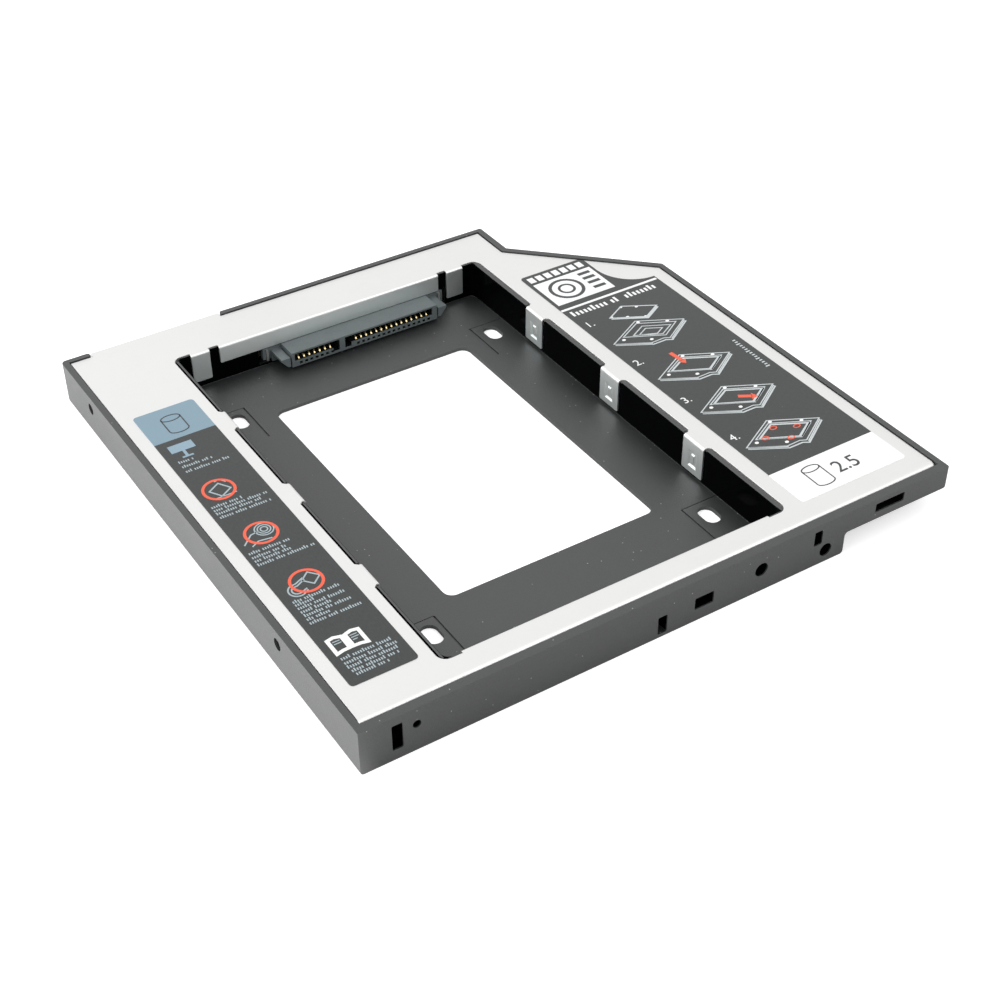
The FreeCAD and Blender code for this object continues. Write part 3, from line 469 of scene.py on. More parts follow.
@dataclass(frozen=True)
class PrintedFilm(Finish):
    """A dark satin label film with a fine paper grain, a soft sheen and one printed band across it.

    Attributes:
        band: where the band begins and ends along the caddy.
        band_colour: the band's colour.
    """

    band: Span
    band_colour: Colour
    base: Colour = (0.034, 0.038, 0.037)
    roughness: float = 0.36
    fibre_size: float = 0.3
    fibre_draw: Place = (1.0, 0.35, 1.0)
    wave_size: float = 7.0
    lint_colour: Colour = (0.3, 0.3, 0.3)
    lint_spacing: float = 2.4
    lint_radius: float = 0.09
    lint_share: float = 0.12
    relief_depth: float = 0.02

    def fill(self, recipe: Recipe) -> None:
        """Adds the finish's nodes to a recipe.

        Args:
            recipe: the node tree that they go into.
        """
        place = recipe.place()
        fibres = recipe.noise(recipe.scaled(place, self.fibre_draw), self.fibre_size, 3.0, 0.6)
        waves = recipe.noise(place, self.wave_size)
        lint = recipe.specks(place, self.lint_spacing, self.lint_radius, self.lint_share)
        tone = recipe.mixed(fibres.ramped(0.3, 0.7), shade(self.base, 0.85), shade(self.base, 1.18))
        linted = recipe.mixed(lint * 0.4, tone, self.lint_colour)
        ink = recipe.mixed(fibres.ramped(0.3, 0.7), shade(self.band_colour, 0.97), self.band_colour)
        band = recipe.axes(place)[1].within(self.band[0] * MM, self.band[1] * MM)
        recipe.surface({
            "Base Color": recipe.mixed(band, linted, ink),
            "Roughness": self.roughness + (fibres - 0.5) * 0.12 + (waves - 0.5) * 0.08,
            "Normal": recipe.relief(fibres * 0.3 + waves * 0.7, self.relief_depth)})


class InkTone(Enum):
    """The tones of ink on the labels, each with its colour."""

    WHITE = (0.90, 0.91, 0.90)
    CHALK = (0.58, 0.62, 0.63)
    PALE = (0.38, 0.45, 0.48)
    SKY = (0.26, 0.37, 0.45)
    RED = (0.86, 0.12, 0.06)
    DARK = (0.045, 0.048, 0.052)


@dataclass(frozen=True)
class Ink(Finish):
    """Screen-printed ink: a thin even coat with a fine mesh grain and tiny pinholes."""

    tone: InkTone
    roughness: float = 0.45
    coat_size: float = 0.35
    cloud_size: float = 5.0
    pinhole_spacing: float = 0.5
    pinhole_radius: float = 0.04
    pinhole_share: float = 0.15
    relief_depth: float = 0.004

    def fill(self, recipe: Recipe) -> None:
        """Adds the finish's nodes to a recipe.

        Args:
            recipe: the node tree that they go into.
        """
        place = recipe.place()
        coat = recipe.noise(place, self.coat_size, 3.0, 0.6)
        clouds = recipe.noise(place, self.cloud_size)
        pinholes = recipe.specks(place, self.pinhole_spacing, self.pinhole_radius, self.pinhole_share)
        colour = self.tone.value
        even = recipe.mixed((coat * 0.6 + clouds * 0.4).ramped(0.3, 0.7),
                            shade(colour, 0.94), shade(colour, 1.04))
        recipe.surface({
            "Base Color": recipe.mixed(pinholes * 0.2, even, shade(colour, 0.6)),
            "Roughness": self.roughness + (coat - 0.5) * 0.15,
            "Normal": recipe.relief(coat, self.relief_depth)})


@dataclass(frozen=True)
class ConnectorPlastic(Finish):
    """Dense dark connector plastic with a faint glass-fibre grain and matte flow marks, painted highlights
    along its edges and painted shade, near black, inside its slot.
    """

    # The block inside the receptacle's slot, painted into shade.
    painted_shade_slot: Block
    base: Colour = (0.105, 0.125, 0.128)
    roughness: float = 0.42
    edge_radius: float = 0.08
    fibre_size: float = 0.18
    fibre_draw: Place = (0.25, 1.0, 1.0)
    flow_size: float = 4.0
    relief_depth: float = 0.006

    def fill(self, recipe: Recipe) -> None:
        """Adds the finish's nodes to a recipe.

        Args:
            recipe: the node tree that they go into.
        """
        place = recipe.place()
        fibres = recipe.noise(recipe.scaled(place, self.fibre_draw), self.fibre_size, 3.0, 0.6)
        flow = recipe.noise(place, self.flow_size, 3.0, 0.6)
        rounded = recipe.softened(self.edge_radius)
        tone = recipe.mixed((fibres * 0.5 + flow * 0.5).ramped(0.3, 0.7),
                            shade(self.base, 0.8), shade(self.base, 1.2))
        # Painted highlight: the colour lightened along the rounded edges.
        wear_and_edge_highlight = recipe.mixed((recipe.lean(rounded) * 2.0).held() * 0.4, tone, shade(self.base, 1.8))
        recipe.surface({
            # Painted shade: near black inside the slot's block.
            "Base Color": recipe.mixed(recipe.inside(place, self.painted_shade_slot), wear_and_edge_highlight, shade(self.base, 0.05)),
            "Roughness": self.roughness + (flow - 0.5) * 0.16,
            "Normal": recipe.relief(fibres, self.relief_depth, rounded)})


@dataclass(frozen=True)
class PlatedMetal(Finish):
    """Plated metal with a fine grain, small stains and marks of wear where parts slide."""

    base: Colour = (0.66, 0.54, 0.28)
    # Here the colour of real wear, in the stained marks.
    wear_and_edge_highlight: Colour = (0.52, 0.42, 0.24)
    roughness: float = 0.3
    mark_size: float = 0.12
    mark_draw: Place = (1.0, 0.15, 1.0)
    stain_size: float = 1.4
    relief_depth: float = 0.002

    def fill(self, recipe: Recipe) -> None:
        """Adds the finish's nodes to a recipe.

        Args:
            recipe: the node tree that they go into.
        """
        place = recipe.place()
        marks = recipe.noise(recipe.scaled(place, self.mark_draw), self.mark_size, 3.0, 0.6)
        stains = recipe.noise(place, self.stain_size, 3.0, 0.65).ramped(0.5, 0.7)
        clean = recipe.mixed(marks, shade(self.base, 0.92), self.base)
        recipe.surface({
            "Base Color": recipe.mixed(stains * 0.6, clean, self.wear_and_edge_highlight),
            "Metallic": 1.0,
            "Roughness": self.roughness + (marks - 0.5) * 0.14 + stains * 0.1,
            "Normal": recipe.relief(marks, self.relief_depth)})


@dataclass(frozen=True)
class SolderMask(Finish):
    """A very dark green circuit board: lacquer over copper traces, with bare laminate at its edges.

    Attributes:
        top: the height of its top face.
    """

    top: float
    base: Colour = (0.006, 0.020, 0.013)
    trace: Colour = (0.012, 0.042, 0.026)
    laminate: Colour = (0.05, 0.045, 0.03)
    pitch: float = 1.27
    top_reach: float = 0.02
    wander_size: float = 9.0
    wander_draw: Place = (0.1, 1.0, 1.0)
    patch_size: float = 8.0
    weave_size: float = 0.4
    relief_depth: float = 0.03

    def fill(self, recipe: Recipe) -> None:
        """Adds the finish's nodes to a recipe.

        Args:
            recipe: the node tree that they go into.
        """
        place = recipe.place()
        x, _, z = recipe.axes(place)
        wander = recipe.noise(recipe.scaled(place, self.wander_draw), self.wander_size, 1.0)
        phase = x / (self.pitch * MM) + wander * 3.0
        stripe = abs(phase.fraction() - 0.5) < 0.17
        copper = stripe * (recipe.noise(place, self.patch_size, 1.0) > 0.45)
        weave = recipe.noise(place, self.weave_size)
        flat = (abs(z - self.top * MM) < self.top_reach * MM).held()
        green = recipe.mixed(weave, shade(self.base, 0.8), shade(self.base, 1.2))
        bare = recipe.mixed(weave, shade(self.laminate, 0.8), self.laminate)
        recipe.surface({
            "Base Color": recipe.mixed(flat, bare, recipe.mixed(copper, green, self.trace)),
            "Roughness": 0.32 + (weave - 0.5) * 0.1 + (1 - flat) * 0.3,
            "Normal": recipe.relief(copper * 0.7 + weave * 0.3, self.relief_depth)})


@dataclass(frozen=True)
class ChipCeramic(Finish):
    """A small ceramic chip with tinned ends.

    Attributes:
        ends: the two places across the caddy where the tinned ends begin.
        base: the colour of the body.
        tin: the colour of the ends.
        grain_size: the size of its grain.
        relief_depth: how deep the grain is.
    """

    ends: Span
    base: Colour
    tin: Colour = (0.72, 0.72, 0.70)
    grain_size: float = 0.2
    relief_depth: float = 0.006

    def fill(self, recipe: Recipe) -> None:
        """Adds the finish's nodes to a recipe.

        Args:
            recipe: the node tree that they go into.
        """
        place = recipe.place()
        body = recipe.axes(place)[0].within(self.ends[0] * MM, self.ends[1] * MM)
        grain = recipe.noise(place, self.grain_size, 3.0, 0.6)
        fired = recipe.mixed(grain, shade(self.base, 0.8), shade(self.base, 1.15))
        recipe.surface({
            "Base Color": recipe.mixed(body, recipe.mixed(grain, shade(self.tin, 0.85), self.tin), fired),
            "Metallic": 1 - body,
            "Roughness": 0.3 + body * 0.25 + (grain - 0.5) * 0.12,
            "Normal": recipe.relief(grain, self.relief_depth)})


@dataclass(frozen=True)
class StudioPaper(Finish):
    """A pale paper floor that the camera sees as white, apart from the object's shadow.

    Attributes:
        glow_edge: how far left the paper has to lie to glow, in reflections only.
        base: the paper's colour.
        lift: how much the camera sees it brightened.
        glow: how much it glows.
        glow_fade: how far under the object the glow fades out.
        grain_size: the size of the paper's grain.
    """

    glow_edge: float
    base: Colour = (0.86, 0.86, 0.86)
    lift: float = 0.52
    glow: float = 1.0
    glow_fade: float = 4.0
    grain_size: float = 2.0

    def fill(self, recipe: Recipe) -> None:
        """Adds the finish's nodes to a recipe.

        Args:
            recipe: the node tree that they go into.
        """
        place = recipe.place()
        grain = recipe.noise(place, self.grain_size, 3.0, 0.6)
        camera, glossy, _ = recipe.rays()
        on_left = recipe.axes(place)[0].ramped((self.glow_edge + self.glow_fade) * MM, self.glow_edge * MM)
        colour = recipe.mixed(grain, shade(self.base, 0.99), self.base)
        paper = recipe.node("ShaderNodeBsdfDiffuse", {}, {"Color": colour})
        strength = camera * self.lift + glossy * on_left * self.glow
        light = recipe.node("ShaderNodeEmission", {}, {"Strength": strength})
        recipe.end(recipe.node("ShaderNodeAddShader", {}, {0: paper, 1: light}))


def dress(prefix: str, material: bpy.types.Material) -> int:
    """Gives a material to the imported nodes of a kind.

    Args:
        prefix: the start of their names.
        material: the finish.

    Returns:
        How many nodes took it.
    """
    chosen = [piece for name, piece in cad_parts.items() if name.startswith(prefix)]
    for piece in chosen:
        for holder in piece.material_slots:
            holder.material = material
    return len(chosen)


# Printing on the labels

class Form(Enum):
    """The outline of one printed shape, by the number of its sides."""

    BOX = 0
    ROUND = 32


class InkDrawing:
    """Flat shapes in one tone of ink, drawn in edit mode on a label and raised to a thin film.

    Points are in millimetres from the label's front left corner.

    Attributes:
        MERGE_REACH: how near two corners are when they become one.
        FIGURE_SHARE: a figure's height as a share of its text size.
        TICK_GROUPS: how many ticks stand in each group of a row.
        TICK_PITCH: the distance between ticks, as a share of a tall tick's height, as are the next four.
        TICK_WIDTH: a tick's width.
        TICK_FOOT: how far below the row's middle the ticks begin.
        SHORT_TICK: a short tick's height.
        GROUP_GAP: the extra distance between two groups.
    """

    MERGE_REACH: float = 0.001
    FIGURE_SHARE: float = 0.7
    TICK_GROUPS: tuple[int, ...] = (5, 8, 3, 7, 4, 9, 6)
    TICK_PITCH: float = 0.55
    TICK_WIDTH: float = 0.3
    TICK_FOOT: float = 0.42
    SHORT_TICK: float = 0.7
    GROUP_GAP: float = 0.44

    def __init__(self, name: str, corner: Vector, thickness: float) -> None:
        """Starts a drawing with nothing on it.

        Args:
            name: the piece's name.
            corner: the label's front left corner on its top face, in metres.
            thickness: the thickness of its ink.
        """
        self.name = name
        self.corner = corner
        self.thickness = thickness
        self.sheet: "bpy.types.Object | None" = None
        self.figures: list[tuple[str, Point, float]] = []

    def _at(self, point: Point) -> Vector:
        """A point of the drawing as a place in the scene."""
        return self.corner + Vector((*point, 0.0)) * MM

    def _choose(self, near: Vector, reach: float) -> None:
        """Of the selected corners, keeps those near a place.

        Args:
            near: the place.
            reach: how far from it they may be, in metres.
        """
        sheet = bmesh.from_edit_mesh(self.sheet.data)
        for vertex in [vertex for vertex in sheet.verts if vertex.select]:
            vertex.select_set((vertex.co - near).length < reach)
        sheet.select_flush_mode()
        bmesh.update_edit_mesh(self.sheet.data)

    def shape(self, form: Form, centre: Point, half: Point, line: float = 0.0, turn: float = 0.0) -> None:
        """Draws one shape, filled or as a line round it, and leaves it selected.

        Args:
            form: its outline.
            centre: its middle.
            half: half its width and half its depth.
            line: the width of the line, or 0 for a filled shape.
            turn: how far it is turned, in degrees.
        """
        place = self._at(centre)
        if self.sheet:
            bpy.ops.mesh.select_all(action="DESELECT")
        else:
            bpy.ops.object.select_all(action="DESELECT")
        if form is Form.BOX:
            bpy.ops.mesh.primitive_plane_add(size=2 * half[1] * MM, location=place)
        else:
            bpy.ops.mesh.primitive_circle_add(vertices=form.value, radius=half[1] * MM, fill_type="NGON",
                                              location=place)
        if not self.sheet:
            self.sheet = bpy.context.object
            self.sheet.name = self.sheet.data.name = self.name
            bpy.ops.object.transform_apply(location=True, rotation=False, scale=False)
            bpy.ops.object.mode_set(mode="EDIT")
        bpy.ops.transform.resize(value=(half[0] / half[1], 1.0, 1.0), center_override=place)
        if turn:
            bpy.ops.transform.rotate(value=-math.radians(turn), orient_axis="Z", center_override=place)
        if line:
            bpy.ops.mesh.inset(thickness=line * MM)
            bpy.ops.mesh.delete(type="FACE")

    def panel(self, left: float, right: float, front: float, rear: float) -> None:
        """Fills a rectangle between these limits."""
        middle = ((left + right) / 2, (front + rear) / 2)
        self.shape(Form.BOX, middle, ((right - left) / 2, (rear - front) / 2))

    def bars(self, height: float, rows: Rows) -> None:
        """Fills thin bars of one height, each given by its left end, right end and middle."""
        for left, right, middle in rows:
            self.panel(left, right, middle - height / 2, middle + height / 2)

    def stroke(self, points: Path, width: float) -> None:
        """Draws a line of straight runs with mitred corners.

        Args:
            points: the line's ends and corners, in order.
            width: its width.
        """
        runs = [Vector(after) - Vector(before) for before, after in zip(points, points[1:])]
        middle = (Vector(points[0]) + Vector(points[1])) / 2
        bearing = math.atan2(runs[0].y, runs[0].x)
        self.shape(Form.BOX, tuple(middle), (runs[0].length / 2, width / 2), turn=math.degrees(bearing))
        cut, half = bearing, width / 2
        for index, run in enumerate(runs):
            end = self._at(points[index + 1])
            if index:
                bpy.ops.mesh.extrude_region_move(
                    TRANSFORM_OT_translate={"value": Vector((*run, 0.0)) * MM})
            else:
                self._choose(end, width * MM)
            if index + 1 < len(runs):
                next_bearing = math.atan2(runs[index + 1].y, runs[index + 1].x)
                bend = math.remainder(next_bearing - bearing, math.tau)
                new_cut, new_half = bearing + bend / 2, width / 2 / math.cos(bend / 2)
                bearing = next_bearing
            else:
                new_cut, new_half = bearing, width / 2
            bpy.ops.transform.rotate(value=-math.remainder(new_cut - cut, math.tau), orient_axis="Z",
                                     center_override=end)
            bpy.ops.transform.resize(value=(new_half / half,) * 3, center_override=end)
            cut, half = new_cut, new_half

    def outline(self, points: Path, width: float) -> None:
        """Draws a closed line of straight runs, which starts and ends halfway along its first run."""
        halfway = tuple((Vector(points[0]) + Vector(points[1])) / 2)
        self.stroke([halfway, *points[1:], points[0], halfway], width)

    def wedge(self, base: Point, tip: Point, half_base: float) -> None:
        """Fills a pointed shape.

        Args:
            base: the middle of its base.
            tip: its tip.
            half_base: half the width of its base.
        """
        self.stroke([base, tip], 2 * half_base)
        bpy.ops.mesh.select_all(action="DESELECT")
        sheet = bmesh.from_edit_mesh(self.sheet.data)
        sheet.verts.ensure_lookup_table()
        for vertex in sheet.verts[-4:]:
            vertex.select_set((vertex.co - self._at(tip)).length < (vertex.co - self._at(base)).length)
        bmesh.update_edit_mesh(self.sheet.data)
        bpy.ops.mesh.merge(type="CENTER")

    def ticks(self, left: float, right: float, middle: float, height: float, first: int = 0) -> None:
        """Fills a row of small upright ticks in groups.

        Args:
            left: where the row begins.
            right: where it ends.
            middle: the row's middle along the label.
            height: the height of a tall tick.
            first: the number of its first group, so that rows differ.
        """
        pitch, tick, gap = (height * share for share in (self.TICK_PITCH, self.TICK_WIDTH, self.GROUP_GAP))
        foot = middle - height * self.TICK_FOOT
        across, group, count = left, first, 0
        while across + tick < right:
            rise = height if (count * 3 + group * 2) % 5 == 0 else height * self.SHORT_TICK
            self.panel(across, across + tick, foot, foot + rise)
            across, count = across + pitch, count + 1
            if count == self.TICK_GROUPS[group % len(self.TICK_GROUPS)]:
                across, group, count = across + gap, group + 1, 0

    def figure(self, text: str, corner: Point, height: float) -> None:
        """Puts a plain figure on the drawing, by its lower left corner and its height."""
        self.figures.append((text, corner, height))

    def _add_figures(self) -> None:
        """Turns the figures into flat meshes and joins them to the sheet."""
        made = []
        for text, corner, height in self.figures:
            bpy.ops.object.select_all(action="DESELECT")
            bpy.ops.object.text_add(location=self._at(corner))
            figure = bpy.context.object
            figure.data.body, figure.data.size = text, height * MM / self.FIGURE_SHARE
            bpy.ops.object.convert(target="MESH")
            bpy.ops.object.transform_apply(location=True, rotation=True, scale=True)
            made.append(bpy.context.object)
        bpy.ops.object.select_all(action="DESELECT")
        for piece in [*made, self.sheet]:
            piece.select_set(True)
        bpy.context.view_layer.objects.active = self.sheet
        bpy.ops.object.join()

    def raise_film(self, material: bpy.types.Material) -> None:
        """Ends the drawing: cleans its faces, turns them up and gives them a film's thickness.

        Args:
            material: the ink.
        """
        bpy.ops.object.mode_set(mode="OBJECT")
        if self.figures:
            self._add_figures()
        bpy.ops.object.mode_set(mode="EDIT")
        bpy.ops.mesh.select_all(action="SELECT")
        bpy.ops.mesh.remove_doubles(threshold=self.MERGE_REACH * MM)
        sheet = bmesh.from_edit_mesh(self.sheet.data)
        for face in sheet.faces:
            face.select_set(face.normal.z < 0)
        bmesh.update_edit_mesh(self.sheet.data)
        bpy.ops.mesh.flip_normals()
        bpy.ops.object.mode_set(mode="OBJECT")
        film = self.sheet.modifiers.new("film", "SOLIDIFY")
        film.thickness, film.offset = self.thickness * MM, 1.0
        bpy.ops.object.modifier_apply(modifier=film.name)
        self.sheet.data.materials.clear()
        self.sheet.data.materials.append(material)
        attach(self.sheet, "root")
        log.info("%s: %d faces", self.name, len(self.sheet.data.polygons))


def arc(centre: Point, half: Point, start: float, end: float, step: float = 15.0) -> list[Point]:
    """Points along part of an ellipse.

    Args:
        centre: the ellipse's middle.
        half: half its width and half its depth.
        start: the bearing of the first point, in degrees.
        end: the bearing of the last one.
        step: the turn between two points.

    Returns:
        The points, in order.
    """
    count = int(abs(end - start) / step)
    bearings = [math.radians(start + (end - start) * number / count) for number in range(count + 1)]
    return [(centre[0] + half[0] * math.cos(turn), centre[1] + half[1] * math.sin(turn)) for turn in bearings]


@dataclass(frozen=True)
class DrawnCylinder:
    """An upright cylinder in outline.

    Attributes:
        top: the middle of its top.
        height: its height.
        half: half the width and half the depth of its top.
    """

    top: Point
    height: float
    half: Point

    def draw(self, ink: InkDrawing, line: float) -> None:
        """Draws it.

        Args:
            ink: the drawing that it goes on.
            line: the width of its line.
        """
        ink.shape(Form.ROUND, self.top, (self.half[0] + line / 2, self.half[1] + line / 2), line)
        left, right = ((self.top[0] + side * self.half[0], self.top[1]) for side in (-1, 1))
        foot = (self.top[0], self.top[1] - self.height)
        ink.stroke([left, *arc(foot, self.half, 180, 360), right], line)


@dataclass(frozen=True)
class PrintedLabel:
    """A label's film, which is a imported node, and the ink on it.

    Attributes:
        node: the film's node.
        band: where the film's printed band begins and ends, from the label's front edge.
        band_colour: the band's colour.
        line: the width of a thin printed line.
        coat: the thickness of one coat of ink, each tone being a coat thicker than the one before it.
        first_coats: how many coats the first tone has.
    """

    node: str
    band: Span
    band_colour: Colour
    line: float = 0.24
    coat: float = 0.005
    first_coats: int = 4

    def draw(self, tone: InkTone, ink: InkDrawing) -> None:
        """Draws what this label has in one tone."""
        raise NotImplementedError

    def build(self, tones: list[InkTone]) -> None:
        """Dresses the film and draws its ink, one piece for each tone.

        Args:
            tones: the tones that this label uses.
        """
        low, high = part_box(self.node)
        corner = Vector((low.x, low.y, high.z))
        band = tuple(low.y / MM + edge for edge in self.band)
        dress(self.node, PrintedFilm(f"{self.node}_film", band, self.band_colour).make())
        for coats, tone in enumerate(tones, self.first_coats):
            name = f"{self.node}_{tone.name.lower()}_ink"
            ink = InkDrawing(name, corner, coats * self.coat)
            self.draw(tone, ink)
            ink.raise_film(Ink(name, tone).make())


@dataclass(frozen=True)
class LeftLabel(PrintedLabel):
    """The narrow label: a pale header, three ringed pictures, rows of ticks and an open book."""

    node: str = "left_label"
    band: Span = (78.6, 95.0)
    band_colour: Colour = (0.215, 0.32, 0.39)
    header_cylinder: DrawnCylinder = DrawnCylinder((6.45, 85.6), 4.4, (2.0, 1.0))
    screen: tuple[Limits, ...] = ((1.8, 6.8, 74.3, 76.8), (3.9, 4.5, 72.5, 74.3), (3.1, 5.4, 72.0, 72.5))
    row_height: float = 0.85
    rows: Rows = (
        (1.7, 4.9, 71.0), (1.7, 7.9, 69.4), (1.7, 10.8, 67.7),
        (1.0, 7.2, 55.0), (1.0, 12.1, 53.9), (1.0, 10.2, 52.8), (1.1, 11.4, 51.5),
        (0.9, 9.2, 39.3), (0.9, 7.9, 38.0), (0.9, 8.7, 36.9), (0.9, 12.1, 35.7),
        (1.5, 10.9, 23.5), (1.5, 5.4, 22.6), (1.5, 10.9, 21.6), (1.5, 7.6, 20.5),
        (1.6, 10.9, 19.4), (1.5, 6.0, 18.3), (1.5, 11.8, 17.2),
        (1.7, 11.4, 6.6), (1.7, 11.8, 5.4), (1.7, 11.8, 4.3), (1.9, 10.8, 3.2), (2.2, 8.8, 2.2))
    rings: Rows = ((4.6, 59.4, 3.3), (5.5, 43.6, 3.3), (6.2, 27.4, 3.25))
    ring_line: float = 0.58
    picture_line: float = 0.3
    plate: Point = (4.75, 59.2)
    plate_half: float = 1.6
    plate_line: float = 0.32
    plate_turn: float = 32.0
    plate_top: Path = ((4.8, 61.9), (5.8, 62.3), (6.7, 60.9))
    plate_foot: Limits = (2.4, 7.2, 56.95, 57.2)
    ripple: Point = (6.4, 44.3)
    ripple_radii: tuple[float, ...] = (1.9, 1.35, 0.8)
    ripple_line: float = 0.26
    bent_lines: tuple[Path, ...] = (
        ((1.3, 41.8), (3.6, 44.0), (5.2, 44.2)), ((2.4, 40.8), (4.0, 41.7), (6.6, 41.3)))
    tile: Point = (7.2, 27.7)
    tile_half: float = 1.35
    tile_turn: float = 40.0
    loop: Point = (3.7, 26.0)
    loop_radii: tuple[float, ...] = (1.0, 1.65)
    book_middle: float = 4.75
    book_line: float = 0.72
    page: Path = ((0.35, 8.35), (0.35, 11.55), (1.7, 11.95), (2.95, 11.7), (2.95, 8.0), (1.7, 8.3))
    page_line: float = 0.22
    page_rows: Rows = (
        (5.7, 7.1, 10.9), (5.7, 7.1, 10.3), (5.7, 6.6, 9.7), (2.4, 3.8, 10.9), (2.4, 3.8, 10.3))

    def draw(self, tone: InkTone, ink: InkDrawing) -> None:
        """Draws what this label has in one tone."""
        {InkTone.WHITE: self._white, InkTone.PALE: self._pale, InkTone.SKY: self._sky,
         InkTone.RED: self._red, InkTone.DARK: self._dark}[tone](ink)

    def _white(self, ink: InkDrawing) -> None:
        """Draws the open book's two pages, as thick outlines."""
        for mirror in (-1, 1):
            ink.outline([(self.book_middle + mirror * across, along) for across, along in self.page],
                        self.book_line)

    def _loop_points(self, radius: float) -> list[Point]:
        """The points of one loop beside the tile, open towards it."""
        across, along = self.loop
        return [(across + 2.3, along + 1.0 + radius * 0.9), (across + 0.5, along + radius),
                *arc(self.loop, (radius, radius), 110, 290), (across + 1.7, along + 0.3 - radius * 0.7)]

    def _pale(self, ink: InkDrawing) -> None:
        """Draws the rows of ticks, the pictures inside the rings and the lines in the book.

        Args:
            ink: the drawing that they go on.
        """
        for number, (left, right, middle) in enumerate(self.rows):
            ink.ticks(left, right, middle, self.row_height, number)
        ink.shape(Form.BOX, self.plate, (self.plate_half,) * 2, self.plate_line, self.plate_turn)
        ink.stroke(self.plate_top, self.line)
        ink.panel(*self.plate_foot)
        for radius in self.ripple_radii:
            ink.shape(Form.ROUND, self.ripple, (radius, radius), self.ripple_line)
        for points in self.bent_lines:
            ink.stroke(points, self.picture_line)
        ink.shape(Form.BOX, self.tile, (self.tile_half,) * 2, self.picture_line, self.tile_turn)
        for radius in self.loop_radii:
            ink.stroke(self._loop_points(radius), self.picture_line)
        ink.bars(self.page_line, self.page_rows)

    def _sky(self, ink: InkDrawing) -> None:
        """Draws the small picture of a screen on its foot, below the header."""
        for limits in self.screen:
            ink.panel(*limits)

    def _red(self, ink: InkDrawing) -> None:
        """Draws the three rings."""
        for across, along, radius in self.rings:
            ink.shape(Form.ROUND, (across, along), (radius, radius), self.ring_line)

    def _dark(self, ink: InkDrawing) -> None:
        """Draws the cylinder's outline on the header."""
        self.header_cylinder.draw(ink, self.line)


